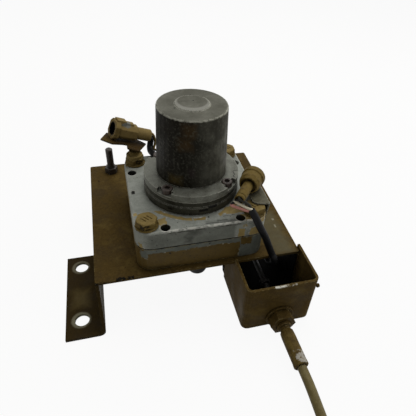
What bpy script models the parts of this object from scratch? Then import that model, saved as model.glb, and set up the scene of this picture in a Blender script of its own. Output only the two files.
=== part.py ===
import math

import bmesh
import bpy
from mathutils import Matrix
from mathutils import Vector

# Engine governor actuator: gear motor on a folded plate, with a push-pull control cable.
# Metres, +Z up. The origin lies under the foot, midway between its two bolt holes.
# The cable box faces -Y. Places in plan are given from the motor's axis, heights from the floor.

# Driving dimensions, general
MOTOR_X = 0.1185
MOTOR_Y = 0.030
GAP = 0.0003
RUNNING_GAP = 0.00015
BOLT_CLEARANCE = 0.0005
SIDES = 24
SMALL_SIDES = 14
TURN_SIDES = 36
HOLE_SIDES = 10
BEND_STEPS = 4

# Driving dimensions, mounting plate
PLATE_TOP = 0.055
PLATE_T = 0.003
PLATE_LEFT = 0.100
PLATE_RIGHT = 0.097
PLATE_FRONT = 0.0663
PLATE_REAR = 0.118
PLATE_CORNER = 0.002
WELD_NUT_H = 0.008

# Driving dimensions, foot angle
FOOT_T = 0.003
FOOT_WIDTH = 0.0365
FOOT_BEND = 0.006
FOOT_FRONT_MARGIN = 0.0195
FOOT_REAR_MARGIN = 0.0155
FOOT_HOLE_SPACING = 0.068
FOOT_HOLE_D = 0.0135

# Driving dimensions, cable box
BOX_T = 0.0025
BOX_WIDTH = 0.0705
BOX_BEND = 0.006
BOX_FRONT = 0.1075
BOX_BOTTOM = 0.002
BOX_RISE = 0.003
BOX_LEFT_REAR = 0.0395
BOX_RIGHT_REAR = 0.0595
BOX_FLOOR_T = 0.0015
BOX_FLOOR_REAR = 0.020
BOX_FLOOR_CORNER = 0.010

# Driving dimensions, gear housing
HOUSING = 0.122
HOUSING_CORNER = 0.014
HOUSING_WALL = 0.005
BODY_H = 0.0257
BODY_FLOOR = 0.006
COVER_H = 0.0197
COVER_ROOF = 0.006
EDGE_ROUND = 0.0012
BOLT_SPREAD = 0.0495
BOLT_D = 0.010
BOLT_FLATS = 0.017
BOLT_HEAD_H = 0.0064
BOLT_FLANGE_D = 0.021
BOLT_FLANGE_T = 0.0013
BOLT_TIP = 0.002
BOSS_R = 0.0105
SPARE_HOLE_D = 0.009
SPARE_FRONT_X = 0.0342
SPARE_FRONT_Y = 0.0555
SPARE_SIDE_X = 0.0545
SPARE_SIDE_Y = 0.0312
DOWEL_HOLE_D = 0.0035
PINION_HOLE_D = 0.026
SHAFT_BOSS_D = 0.024
SHAFT_BOSS_DROP = 0.022

# Driving dimensions, motor
RING_R = 0.0455
RING_H = 0.0134
RING_STEP = 0.0008
SPIGOT_H = 0.0045
FLANGE_R = 0.045
FLANGE_T = 0.007
NOTCH_DEPTH = 0.0040
NOTCH_FLOOR_R = 0.0405
NOTCH_HALF_ANGLE = 11.5
SCREW_RADIUS = 0.0390
SCREW_D = 0.006
SCREW_HEAD_D = 0.0100
SCREW_HEAD_H = 0.0048
SCREW_SOCKET_D = 0.0050
SCREW_SOCKET_DEPTH = 0.0030
SCREW_LENGTH = 0.012
CAN_R = 0.033
CAN_TOP_R = 0.0312
CAN_H = 0.0655
CAN_INSIDE_R = 0.0283
CAN_ROOF = 0.004
CAN_EDGE = 0.0014
CAN_PAD_R = 0.0155
CAN_PAD_H = 0.0008
MAGNET_R = 0.0280
MAGNET_T = 0.0065
MAGNET_HALF_ANGLE = 62.0
MAGNET_LIFT = 0.004
MOTOR_SHAFT_D = 0.008
ARMATURE_R = 0.0203
ARMATURE_INSET = 0.002
ARMATURE_SLOTS = 10
SLOT_W = 0.0035
SLOT_DEPTH = 0.0045
COMMUTATOR_R = 0.0110
COMMUTATOR_H = 0.007
COMMUTATOR_LIFT = 0.003
COMMUTATOR_DROP = 0.0085
BRUSH_PLATE_T = 0.002
BRUSH_W = 0.006
BRUSH_H = 0.005
BEARING_D = 0.022
BEARING_H = 0.007
TOP_BEARING_D = 0.019
TOP_BEARING_H = 0.006
BEARING_SEAT_WALL = 0.002
BEARING_SEAT_OVER = 0.001
BEARING_LIP = 0.003

# Driving dimensions, gear train
MODULE = 0.001
PINION_TEETH = 12
WHEEL_TEETH = 48
SMALL_TEETH = 16
SECTOR_TEETH = 60
SECTOR_HALF_ANGLE = 32.0
PRESSURE_ANGLE = 20.0
BACKLASH = 0.00030
STRAIGHT_FLANK_TEETH = 40
ADDENDUM = 0.80
DEDENDUM = 1.20
OUTPUT_X = 0.0335
OUTPUT_Y = -0.0180
OUTPUT_D = 0.012
SECTOR_T = 0.008
SECTOR_HUB_R = 0.0105
SMALL_GEAR_H = 0.0125
WHEEL_T = 0.006
WHEEL_HUB_R = 0.0065
PINION_H = 0.0085
IDLER_D = 0.008
IDLER_TIP_D = 0.006
BUSH_WALL = 0.003
BUSH_FLANGE_R = 0.0112
BUSH_FLANGE_T = 0.0017
AXLE_SOCKET = 0.0025

# Driving dimensions, output lever and control rod
LEVER_R = 0.032
LEVER_T = 0.0054
LEVER_HUB_R = 0.011
LEVER_EYE_R = 0.0078
LEVER_BORE_D = 0.010
LEVER_NUT_FLATS = 0.017
LEVER_NUT_H = 0.006
SHAFT_TIP = 0.0018
PIN_D = 0.008
PIN_HEAD_R = 0.006
PIN_HEAD_H = 0.0025
PIN_BELOW = 0.0025
ROD_D = 0.006
ROD_EYE_R = 0.0088
ROD_EYE_T = 0.007
ROD_SLOT_HALF = 0.0013
ROD_SLOT_SHIFT = 0.0010
ROD_INSIDE_HUB = 0.012
ROD_NUT_FLATS = 0.010
ROD_NUT_H = 0.005
ROD_NUT_Y = 0.0669
LEVER_ABOVE_ROD = 0.0112

# Driving dimensions, bulkhead fitting and conduit
HUB_Z = 0.0148
HUB_D = 0.014
HUB_OUT = 0.0150
HUB_IN = 0.0135
HUB_NECK_D = 0.0102
HUB_NECK = 0.003
NUT_FLATS = 0.022
OUTER_NUT_H = 0.009
INNER_NUT_H = 0.007
WASHER_R = 0.0141
WASHER_T = 0.002
SLEEVE_D = 0.0122
SLEEVE_L = 0.036
SLEEVE_NOSE = 0.003
SLEEVE_CRIMP_D = 0.0110
CONDUIT_D = 0.0085
COIL_AHEAD = 0.121
COIL_R = 0.047
COIL_TURNS = 2.25
TAIL_L = 0.055
FAR_SLEEVE_L = 0.024
FAR_HUB_D = 0.014
FAR_HUB_L = 0.034
FAR_ROD_OUT = 0.034
FAR_ROD_IN = 0.026
ROD_STROKE = 0.0125

# Driving dimensions, sensor, rear stud and leads
SENSOR_R = 0.015
SENSOR_H = 0.014
SENSOR_SOCKET = 0.008
SENSOR_CABLE_D = 0.0068
STUD_X = -0.0754
STUD_Y = 0.1040
STUD_D = 0.008
STUD_UP = 0.026
STUD_HEAD_T = 0.005
STUD_NUT_FLATS = 0.013
STUD_NUT_H = 0.0068
CORD_STEP = 0.0052
JACKET_START = (0.0412, -0.0605, 0.1135)
JACKET_BEND = (0.0468, -0.0650, 0.1080)
LEAD_D = 0.0066
WIRE_D = 0.0026

# Driving dimensions, connectors and their brackets
BRACKET_T = 0.0015
RIVET_R = 0.004
RIVET_T = 0.002
LEFT_TURN = 195.0
LEFT_TILT = 24.0
LEFT_X = -0.0683
LEFT_Y = 0.0597
LEFT_Z = 0.1372
LEFT_L = 0.025
LEFT_W = 0.0155
LEFT_CHAMFER = 0.0042
LEFT_COLLAR = 0.0016
LEFT_COLLAR_L = 0.005
LEFT_MOUTH_DEPTH = 0.014
LEFT_WALL = 0.0014
LEFT_RIDGE_W = 0.008
LEFT_RIDGE_H = 0.0018
LEFT_RIDGE_L = 0.020
LEFT_CAP_W = 0.010
LEFT_CAP_H = 0.0034
LEFT_CAP_L = 0.011
LEFT_BOOT_D = 0.0128
LEFT_BOOT_L = 0.0165
LEFT_SHELF_SIDE = 0.0095
LEFT_SHELF_STEP = 0.0110
LEFT_SHELF_TONGUE = 0.0118
LEFT_RISER_LEFT = 0.0510
LEFT_RISER_RIGHT = 0.0430
LEFT_RISER_LOW = 0.0800
RIGHT_TURN = 52.3
RIGHT_X = 0.0331
RIGHT_Y = -0.0525
RIGHT_R = 0.0100
RIGHT_L = 0.0170
RIGHT_SHOULDER = 0.004
RIGHT_RECESS_R = 0.0074
RIGHT_RECESS = 0.003
RIGHT_MOUTH_R = 0.0082
RIGHT_MOUTH_DEPTH = 0.0105
RIGHT_COLLAR = 0.0010
RIGHT_COLLAR_L = 0.005
RIGHT_BOOT_D = 0.0096
RIGHT_BOOT_L = 0.0225
RIGHT_TAB_LEFT = 0.0475
RIGHT_TAB_FRONT = 0.0505
RIGHT_TAB_REAR = 0.0150
RIGHT_RISER_DROP = 0.034

# Sizes and heights that follow from the driving dimensions
PLATE_BOTTOM = PLATE_TOP - PLATE_T
BODY_BOTTOM = PLATE_TOP + GAP
BODY_TOP = BODY_BOTTOM + BODY_H
COVER_BOTTOM = BODY_TOP + GAP
COVER_TOP = COVER_BOTTOM + COVER_H
ROOF_UNDER = COVER_TOP - COVER_ROOF
FLOOR_TOP = BODY_BOTTOM + BODY_FLOOR
RING_BOTTOM = COVER_TOP + GAP
RING_TOP = RING_BOTTOM + RING_H
FLANGE_BOTTOM = RING_TOP + GAP
FLANGE_TOP = FLANGE_BOTTOM + FLANGE_T
CAN_BOTTOM = FLANGE_TOP + GAP
CAN_TOP = CAN_BOTTOM + CAN_H
BOX_TOP = PLATE_TOP + BOX_RISE
BOX_INNER_RIGHT = PLATE_RIGHT + GAP
BOX_LEFT = BOX_INNER_RIGHT + BOX_T - BOX_WIDTH
BOX_WALL_IN = BOX_FRONT - BOX_T
HUB_X = OUTPUT_X + LEVER_R
ROD_EYE_X = HUB_X - ROD_SLOT_SHIFT
BOSS_BOTTOM = BODY_BOTTOM - SHAFT_BOSS_DROP
LEVER_BOTTOM = HUB_Z + LEVER_ABOVE_ROD
LEVER_TOP = LEVER_BOTTOM + LEVER_T
PINION_R = 0.5 * MODULE * PINION_TEETH
WHEEL_R = 0.5 * MODULE * WHEEL_TEETH
SMALL_R = 0.5 * MODULE * SMALL_TEETH
SECTOR_R = 0.5 * MODULE * SECTOR_TEETH
BUSH_FLANGE_BOTTOM = FLOOR_TOP + GAP
SECTOR_HUB_BOTTOM = BUSH_FLANGE_BOTTOM + BUSH_FLANGE_T + GAP
SECTOR_BOTTOM = SECTOR_HUB_BOTTOM + 0.002
SMALL_BOTTOM = FLOOR_TOP + 0.002
WHEEL_BOTTOM = SMALL_BOTTOM + SMALL_GEAR_H
PINION_BOTTOM = WHEEL_BOTTOM - 0.001
WASHER_OUT = GAP
NUT_OUT = WASHER_OUT + WASHER_T + GAP
SLEEVE_START = HUB_OUT + HUB_NECK + GAP
CONDUIT_START = SLEEVE_START + SLEEVE_L + GAP


# The idler's axis is where the motor pinion and the output sector both mesh with it
def idler_place():
    reach = math.hypot(OUTPUT_X, OUTPUT_Y)
    near = PINION_R + WHEEL_R
    far = SMALL_R + SECTOR_R
    along = (near * near - far * far + reach * reach) / (2 * reach)
    aside = math.sqrt(near * near - along * along)
    unit = Vector((OUTPUT_X, OUTPUT_Y)) / reach
    square = Vector((-unit.y, unit.x))
    return unit * along - square * aside


IDLER = idler_place()


def at(x, y, z=0.0):
    return Vector((MOTOR_X + x, MOTOR_Y + y, z))


# Materials
def paint(name, colour, roughness, metallic=0.0):
    made = bpy.data.materials.get(name)
    if made is None:
        made = bpy.data.materials.new(name)
        made.use_nodes = True
        shader = made.node_tree.nodes["Principled BSDF"]
        shader.inputs["Base Color"].default_value = (colour[0], colour[1], colour[2], 1.0)
        shader.inputs["Roughness"].default_value = roughness
        shader.inputs["Metallic"].default_value = metallic
    return made


def olive():
    return paint("olive_tan_paint", (0.165, 0.125, 0.055), 0.62)


def grey():
    return paint("grey_cover_paint", (0.27, 0.28, 0.27), 0.55)


def cast():
    return paint("grey_cast_aluminium", (0.13, 0.125, 0.11), 0.6, 0.35)


def steel():
    return paint("plain_steel", (0.36, 0.35, 0.33), 0.4, 0.9)


def dark_steel():
    return paint("dark_steel", (0.05, 0.045, 0.04), 0.6, 0.5)


def bronze():
    return paint("bearing_bronze", (0.42, 0.25, 0.10), 0.4, 0.9)


def black():
    return paint("black_rubber", (0.012, 0.012, 0.012), 0.55)


# Scene and collections
def clear_scene():
    for obj in list(bpy.data.objects):
        bpy.data.objects.remove(obj, do_unlink=True)


def new_collection(name):
    made = bpy.data.collections.new(name)
    bpy.context.scene.collection.children.link(made)
    return made


# Shape helpers
def arc(cx, cy, radius, start, end, count):
    turns = [math.radians(start + (end - start) * i / count) for i in range(count + 1)]
    return [(cx + radius * math.cos(t), cy + radius * math.sin(t)) for t in turns]


def circle(cx, cy, radius, count=SMALL_SIDES):
    return arc(cx, cy, radius, 0.0, 360.0, count)[:-1]


def hexagon(cx, cy, flats, turn=0.0):
    return arc(cx, cy, flats / math.sqrt(3.0), turn, turn + 360.0, 6)[:-1]


def rounded_box(left, low, right, high, radius, count=4):
    return (arc(right - radius, high - radius, radius, 0, 90, count)
            + arc(left + radius, high - radius, radius, 90, 180, count)
            + arc(left + radius, low + radius, radius, 180, 270, count)
            + arc(right - radius, low + radius, radius, 270, 360, count))


def stadium(x0, y0, r0, x1, y1, r1, count=9):
    reach = math.hypot(x1 - x0, y1 - y0)
    heading = math.degrees(math.atan2(y1 - y0, x1 - x0))
    lean = math.degrees(math.acos((r0 - r1) / reach))
    near = arc(x0, y0, r0, heading + lean, heading + 360 - lean, count)
    far = arc(x1, y1, r1, heading - lean, heading + lean, count)
    return near + far


def chamfered_square(half, chamfer):
    near = half - chamfer
    return [(half, -near), (half, near), (near, half), (-near, half),
            (-half, near), (-half, -near), (-near, -half), (near, -half)]


TURNS = {
    "Z": (0.0, 0.0, 0.0),
    "Y": (math.radians(90), 0.0, 0.0),
    "X": (math.radians(90), 0.0, math.radians(90)),
}


def new_mesh_object(name, mesh, material):
    obj = bpy.data.objects.new(name, mesh)
    if material is not None:
        obj.data.materials.clear()
        obj.data.materials.append(material)
    PARTS.objects.link(obj)
    return obj


# Replaces an object by the mesh that its modifiers make, in world space
def baked(obj, material=None):
    bpy.context.view_layer.update()
    graph = bpy.context.evaluated_depsgraph_get()
    source = obj.evaluated_get(graph)
    mesh = bpy.data.meshes.new_from_object(source)
    mesh.transform(obj.matrix_world)
    work = bmesh.new()
    work.from_mesh(mesh)
    bmesh.ops.remove_doubles(work, verts=work.verts, dist=0.000002)
    bmesh.ops.dissolve_limit(work, angle_limit=math.radians(0.2), verts=work.verts, edges=work.edges)
    bmesh.ops.recalc_face_normals(work, faces=work.faces)
    work.to_mesh(mesh)
    work.free()
    name = obj.name
    if material is None and obj.data.materials:
        material = obj.data.materials[0]
    bpy.data.objects.remove(obj, do_unlink=True)
    made = new_mesh_object(name, mesh, material)
    made.data.shade_smooth()
    made.data.set_sharp_from_angle(angle=math.radians(35))
    return made


# A flat outline with its holes, extruded from low to high along the named axis
def slab(name, outlines, low, high, material=None, axis="Z"):
    curve = bpy.data.curves.new(name, "CURVE")
    curve.dimensions = "2D"
    curve.fill_mode = "BOTH"
    curve.extrude = 0.5 * (high - low)
    curve.resolution_u = 1
    curve.render_resolution_u = 0
    for outline in outlines:
        spline = curve.splines.new("POLY")
        spline.points.add(len(outline) - 1)
        for point, (u, v) in zip(spline.points, outline):
            point.co = (u, v, 0.0, 1.0)
        spline.use_cyclic_u = True
    obj = bpy.data.objects.new(name, curve)
    PARTS.objects.link(obj)
    middle = 0.5 * (low + high)
    obj.rotation_euler = TURNS[axis]
    obj.location = {"Z": (0, 0, middle), "Y": (0, middle, 0), "X": (middle, 0, 0)}[axis]
    return baked(obj, material)


# A turned shape from its profile of (radius, height) points, top to bottom on the outer side
def turned(name, profile, place, material=None, axis="Z", hollow=False, steps=SIDES):
    mesh = bpy.data.meshes.new(name)
    edges = [(i, i + 1) for i in range(len(profile) - 1)]
    if hollow:
        edges.append((len(profile) - 1, 0))
    mesh.from_pydata([(r, 0.0, h) for r, h in profile], edges, [])
    obj = bpy.data.objects.new(name, mesh)
    PARTS.objects.link(obj)
    screw = obj.modifiers.new("Turn", "SCREW")
    screw.axis = "Z"
    screw.steps = steps
    screw.render_steps = steps
    screw.use_merge_vertices = True
    screw.merge_threshold = 0.00001
    obj.location = place
    obj.rotation_euler = {"Z": (0, 0, 0), "-Y": (math.radians(90), 0, 0)}[axis]
    return baked(obj, material)


def hide_cutter(obj):
    for owner in list(obj.users_collection):
        owner.objects.unlink(obj)
    CUTTERS.objects.link(obj)
    obj.hide_render = True
    obj.display_type = "WIRE"


def combine(obj, others, operation):
    for other in others:
        modifier = obj.modifiers.new(operation.title(), "BOOLEAN")
        modifier.operation = operation
        modifier.solver = "EXACT"
        modifier.object = other
    made = baked(obj)
    for other in others:
        bpy.data.objects.remove(other, do_unlink=True)
    return made


# The pieces listed are joined to the first, and their own objects go
def united(obj, others):
    return combine(obj, others, "UNION")


# Cutters stay in their own collection, on live modifiers
def cut(obj, cutters):
    for cutter in cutters:
        hide_cutter(cutter)
        modifier = obj.modifiers.new("Cut " + cutter.name, "BOOLEAN")
        modifier.operation = "DIFFERENCE"
        modifier.solver = "EXACT"
        modifier.object = cutter
    return obj


def drill(name, x, y, low, high, diameter, sides=SMALL_SIDES):
    bpy.ops.mesh.primitive_cylinder_add(vertices=sides, radius=0.5 * diameter, depth=high - low,
                                        location=at(x, y, 0.5 * (low + high)))
    made = bpy.context.object
    made.name = name
    return made


def drill_y(name, x, z, front, rear, diameter, sides=SMALL_SIDES):
    place = at(x, 0.5 * (front + rear), z)
    bpy.ops.mesh.primitive_cylinder_add(vertices=sides, radius=0.5 * diameter, depth=rear - front,
                                        location=place, rotation=(math.radians(90), 0, 0))
    made = bpy.context.object
    made.name = name
    return made


def block(name, left, right, front, rear, low, high):
    place = at(0.5 * (left + right), 0.5 * (front + rear), 0.5 * (low + high))
    bpy.ops.mesh.primitive_cube_add(size=1.0, location=place)
    made = bpy.context.object
    made.name = name
    made.scale = (right - left, rear - front, high - low)
    bpy.ops.object.transform_apply(location=False, rotation=False, scale=True)
    return made


def soften(obj, width, segments=2, angle=50):
    bevel = obj.modifiers.new("Edges", "BEVEL")
    bevel.width = width
    bevel.segments = segments
    bevel.limit_method = "ANGLE"
    bevel.angle_limit = math.radians(angle)
    return obj


def moved(points, x=0.0, y=0.0):
    return [(u + x, v + y) for u, v in points]


# Plan outlines are drawn from the motor's axis and moved to the part's frame
def plan(points):
    return moved(points, MOTOR_X, MOTOR_Y)


# A smooth curve through a route's own points, read at an even spacing
def smooth_route(points, spacing):
    knots = [Vector(p) for p in points]
    ends = [2 * knots[0] - knots[1]] + knots + [2 * knots[-1] - knots[-2]]
    fine = []
    for i in range(1, len(ends) - 2):
        a, b, c, d = ends[i - 1], ends[i], ends[i + 1], ends[i + 2]
        for step in range(24):
            t = step / 24
            fine.append(0.5 * ((2 * b) + (c - a) * t + (2 * a - 5 * b + 4 * c - d) * t * t
                               + (3 * b - a - 3 * c + d) * t * t * t))
    fine.append(knots[-1])
    lengths = [0.0]
    for before, after in zip(fine, fine[1:]):
        lengths.append(lengths[-1] + (after - before).length)
    count = max(3, round(lengths[-1] / spacing))
    even = []
    index = 0
    for i in range(count + 1):
        target = lengths[-1] * i / count
        while index < len(lengths) - 2 and lengths[index + 1] < target:
            index += 1
        span = lengths[index + 1] - lengths[index]
        share = (target - lengths[index]) / span if span else 0.0
        even.append(fine[index].lerp(fine[index + 1], min(1.0, share)))
    return even


def tube(name, points, diameter, material, sides_level=2):
    curve = bpy.data.curves.new(name, "CURVE")
    curve.dimensions = "3D"
    curve.bevel_depth = 0.5 * diameter
    curve.bevel_resolution = sides_level
    curve.use_fill_caps = True
    curve.resolution_u = 1
    curve.render_resolution_u = 0
    spline = curve.splines.new("POLY")
    spline.points.add(len(points) - 1)
    for point, place in zip(spline.points, points):
        point.co = (place.x, place.y, place.z, 1.0)
    obj = bpy.data.objects.new(name, curve)
    curve.materials.append(material)
    PARTS.objects.link(obj)
    return obj


def cord(name, route, diameter, material):
    places = [at(x, y, z) for x, y, z in route]
    return tube(name, smooth_route(places, CORD_STEP), diameter, material)


# Moves an object's origin onto a joint's axis without moving its shape
def set_origin(obj, x, y, z):
    place = at(x, y, z)
    obj.data.transform(Matrix.Translation(-place))
    obj.location = place
    return obj


# Gear teeth
def involute(angle):
    return math.tan(angle) - angle


def gear_outline(teeth, phase, first=0, count=None):
    pitch_r = 0.5 * MODULE * teeth
    pressure = math.radians(PRESSURE_ANGLE)
    base_r = pitch_r * math.cos(pressure)
    tip_r = pitch_r + ADDENDUM * MODULE
    root_r = pitch_r - DEDENDUM * MODULE
    half = math.pi / (2 * teeth) - 0.5 * BACKLASH / pitch_r

    def half_angle(radius):
        lean = math.acos(min(1.0, base_r / radius))
        return half + involute(pressure) - involute(lean)

    radii = [root_r, pitch_r, tip_r]
    if teeth >= STRAIGHT_FLANK_TEETH:
        radii = [root_r, tip_r]
    spreads = [half_angle(max(base_r, r)) for r in radii]
    points = []
    for i in range(first, first + (teeth if count is None else count)):
        middle = phase + 2 * math.pi * i / teeth
        flank = [(r, middle - s) for r, s in zip(radii, spreads)]
        flank += [(r, middle + s) for r, s in reversed(list(zip(radii, spreads)))]
        points += [(r * math.cos(t), r * math.sin(t)) for r, t in flank]
    return points


# A meshing gear shows a tooth to the other's gap along the line of centres
def mesh_phases(driver_x, driver_y, other_x, other_y, other_teeth):
    heading = math.atan2(other_y - driver_y, other_x - driver_x)
    return heading, heading + math.pi + math.pi / other_teeth


# Plate, foot and cable box
def make_mounting_plate():
    outline = rounded_box(-PLATE_LEFT, -PLATE_FRONT, PLATE_RIGHT, PLATE_REAR, PLATE_CORNER, 3)
    plate = slab("mounting_plate", [plan(outline)], PLATE_BOTTOM, PLATE_TOP, olive())
    nuts = []
    for sx, sy in BOLT_SIGNS:
        nut = plan(hexagon(sx * BOLT_SPREAD, sy * BOLT_SPREAD, BOLT_FLATS))
        nuts.append(slab("weld_nut", [nut], PLATE_BOTTOM - WELD_NUT_H, PLATE_BOTTOM + 0.4 * PLATE_T, olive()))
    plate = united(plate, nuts)
    low = PLATE_BOTTOM - WELD_NUT_H - 0.002
    high = PLATE_TOP + 0.002
    cutters = [drill("plate_bolt_hole", sx * BOLT_SPREAD, sy * BOLT_SPREAD, low, high,
                     BOLT_D + 2 * BOLT_CLEARANCE, HOLE_SIDES) for sx, sy in BOLT_SIGNS]
    cutters.append(drill("plate_boss_hole", OUTPUT_X, OUTPUT_Y, low, high,
                         SHAFT_BOSS_D + 2 * BOLT_CLEARANCE, SIDES))
    cutters.append(drill("plate_sensor_hole", IDLER.x, IDLER.y, low, high, IDLER_TIP_D + 4 * BOLT_CLEARANCE))
    cutters.append(drill("plate_stud_hole", STUD_X, STUD_Y, low, high, STUD_D + 2 * GAP))
    return cut(plate, cutters)


def make_foot_angle():
    outer = -PLATE_LEFT + FOOT_T
    left = outer - FOOT_WIDTH
    top = PLATE_BOTTOM - GAP
    inside = FOOT_BEND - FOOT_T
    centre_x = outer - FOOT_BEND
    section = [(left, 0.0)]
    section += arc(centre_x, FOOT_BEND, FOOT_BEND, -90, 0, BEND_STEPS)
    section += [(outer, top), (outer - FOOT_T, top)]
    section += arc(centre_x, FOOT_BEND, inside, 0, -90, BEND_STEPS)
    section += [(left, FOOT_T)]
    front = -MOTOR_Y - 0.5 * FOOT_HOLE_SPACING - FOOT_FRONT_MARGIN
    rear = -MOTOR_Y + 0.5 * FOOT_HOLE_SPACING + FOOT_REAR_MARGIN
    foot = slab("foot_angle", [moved(section, MOTOR_X)], MOTOR_Y + front, MOTOR_Y + rear, olive(), "Y")
    beyond = 0.01
    slope = [(front - beyond, top + beyond), (front - beyond, FOOT_BEND), (front, FOOT_BEND),
             (-PLATE_FRONT, top), (-PLATE_FRONT, top + beyond)]
    web_cut = slab("foot_web_cut", [moved(slope, MOTOR_Y)], MOTOR_X + outer - FOOT_T - 0.002,
                   MOTOR_X + outer + 0.002, None, "X")
    hole_x = -MOTOR_X
    cutters = [web_cut]
    for side in (-1, 1):
        hole_y = -MOTOR_Y + side * 0.5 * FOOT_HOLE_SPACING
        cutters.append(drill("foot_hole", hole_x, hole_y, -0.002, FOOT_T + 0.002, FOOT_HOLE_D, SIDES))
    return cut(foot, cutters)


def make_cable_box():
    left = BOX_LEFT
    right = BOX_INNER_RIGHT + BOX_T
    front = -BOX_FRONT
    inner = BOX_BEND - BOX_T
    section = [(left, -BOX_LEFT_REAR)]
    section += arc(left + BOX_BEND, front + BOX_BEND, BOX_BEND, 180, 270, BEND_STEPS)
    section += arc(right - BOX_BEND, front + BOX_BEND, BOX_BEND, 270, 360, BEND_STEPS)
    section += [(right, -BOX_RIGHT_REAR), (right - BOX_T, -BOX_RIGHT_REAR)]
    section += arc(right - BOX_BEND, front + BOX_BEND, inner, 360, 270, BEND_STEPS)
    section += arc(left + BOX_BEND, front + BOX_BEND, inner, 270, 180, BEND_STEPS)
    section += [(left + BOX_T, -BOX_LEFT_REAR)]
    box = slab("cable_box", [plan(section)], BOX_BOTTOM, BOX_TOP, olive())
    half = 0.5 * BOX_T
    sheet = arc(right - half - BOX_FLOOR_CORNER, -BOX_FLOOR_REAR - BOX_FLOOR_CORNER, BOX_FLOOR_CORNER, 0, 90, 3)
    sheet += arc(left + half + BOX_FLOOR_CORNER, -BOX_FLOOR_REAR - BOX_FLOOR_CORNER, BOX_FLOOR_CORNER, 90, 180, 3)
    sheet += arc(left + BOX_BEND, front + BOX_BEND, BOX_BEND - half, 180, 270, BEND_STEPS)
    sheet += arc(right - BOX_BEND, front + BOX_BEND, BOX_BEND - half, 270, 360, BEND_STEPS)
    floor = slab("box_floor", [plan(sheet)], BOX_BOTTOM, BOX_BOTTOM + BOX_FLOOR_T, olive())
    box = united(box, [floor])
    notch = block("box_plate_notch", left - 0.002, left + BOX_T + 0.002, -PLATE_FRONT - GAP,
                  -BOX_LEFT_REAR + 0.002, PLATE_BOTTOM - GAP, BOX_TOP + 0.002)
    hole = drill_y("box_hub_hole", HUB_X, HUB_Z, front - 0.002, front + BOX_T + 0.002,
                   HUB_D + 2 * GAP, SIDES)
    return cut(box, [notch, hole])


# Gear housing
def housing_outline(inset=0.0):
    half = 0.5 * HOUSING - inset
    return plan(rounded_box(-half, -half, half, half, HOUSING_CORNER - inset))


def cavity_cutter(name, low, high):
    hollow = slab(name, [housing_outline(HOUSING_WALL)], low, high)
    posts = [drill("post", sx * BOLT_SPREAD, sy * BOLT_SPREAD, low - 0.002, high + 0.002, 2 * BOSS_R)
             for sx, sy in BOLT_SIGNS]
    posts += [block("post_side", min(sx * BOLT_SPREAD, sx * HOUSING), max(sx * BOLT_SPREAD, sx * HOUSING),
                    sy * BOLT_SPREAD - BOSS_R, sy * BOLT_SPREAD + BOSS_R, low - 0.002, high + 0.002)
              for sx, sy in BOLT_SIGNS]
    posts += [block("post_end", sx * BOLT_SPREAD - BOSS_R, sx * BOLT_SPREAD + BOSS_R,
                    min(sy * BOLT_SPREAD, sy * HOUSING), max(sy * BOLT_SPREAD, sy * HOUSING),
                    low - 0.002, high + 0.002)
              for sx, sy in BOLT_SIGNS]
    for x, y in SPARE_HOLES:
        posts.append(drill("spare_post", x, y, low - 0.002, high + 0.002, SPARE_HOLE_D + 2 * 0.003))
    return combine(hollow, posts, "DIFFERENCE")


def bolt_cutters(prefix, low, high):
    return [drill(prefix + "_bolt_hole", sx * BOLT_SPREAD, sy * BOLT_SPREAD, low, high,
                  BOLT_D + 2 * BOLT_CLEARANCE, HOLE_SIDES) for sx, sy in BOLT_SIGNS]


def spare_cutters(prefix, low, high):
    return [drill(prefix + "_spare_hole", x, y, low, high, SPARE_HOLE_D) for x, y in SPARE_HOLES]


def make_gearbox_body():
    body = slab("gearbox_body", [housing_outline()], BODY_BOTTOM, BODY_TOP, olive())
    boss_outline = plan(circle(OUTPUT_X, OUTPUT_Y, 0.5 * SHAFT_BOSS_D, SIDES))
    boss = slab("shaft_boss", [boss_outline], BOSS_BOTTOM, BODY_BOTTOM + 0.5 * BODY_FLOOR, olive())
    body = united(body, [boss])
    beyond = 0.002
    cutters = [cavity_cutter("body_cavity", FLOOR_TOP, BODY_TOP + beyond)]
    cutters += bolt_cutters("body", BODY_BOTTOM - beyond, BODY_TOP + beyond)
    cutters += spare_cutters("body", FLOOR_TOP, BODY_TOP + beyond)
    cutters.append(drill("body_bush_bore", OUTPUT_X, OUTPUT_Y, BOSS_BOTTOM - beyond, FLOOR_TOP + beyond,
                         OUTPUT_D + 2 * (RUNNING_GAP + BUSH_WALL + GAP), SIDES))
    cutters.append(drill("body_idler_bore", IDLER.x, IDLER.y, BODY_BOTTOM - beyond, FLOOR_TOP + beyond,
                         IDLER_D + 2 * RUNNING_GAP))
    return cut(body, cutters)


def make_gearbox_cover():
    cover = slab("gearbox_cover", [housing_outline()], COVER_BOTTOM, COVER_TOP, grey())
    soften(cover, EDGE_ROUND, 1)
    cover = baked(cover)
    beyond = 0.002
    cutters = [cavity_cutter("cover_cavity", COVER_BOTTOM - beyond, ROOF_UNDER)]
    cutters += bolt_cutters("cover", COVER_BOTTOM - beyond, COVER_TOP + beyond)
    cutters += spare_cutters("cover", COVER_BOTTOM - beyond, COVER_TOP + beyond)
    cutters.append(drill("cover_pinion_hole", 0, 0, ROOF_UNDER - beyond, COVER_TOP + beyond,
                         PINION_HOLE_D, SIDES))
    cutters.append(drill("cover_idler_socket", IDLER.x, IDLER.y, ROOF_UNDER - beyond,
                         ROOF_UNDER + AXLE_SOCKET, IDLER_D + 2 * RUNNING_GAP))
    cutters.append(drill("cover_shaft_socket", OUTPUT_X, OUTPUT_Y, ROOF_UNDER - beyond,
                         ROOF_UNDER + AXLE_SOCKET, OUTPUT_D + 2 * RUNNING_GAP, SIDES))
    cutters.append(drill("cover_dowel_hole", -0.5 * HOUSING + 0.0045, 0.0, ROOF_UNDER + 0.001,
                         COVER_TOP + beyond, DOWEL_HOLE_D))
    return cut(cover, cutters)


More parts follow.
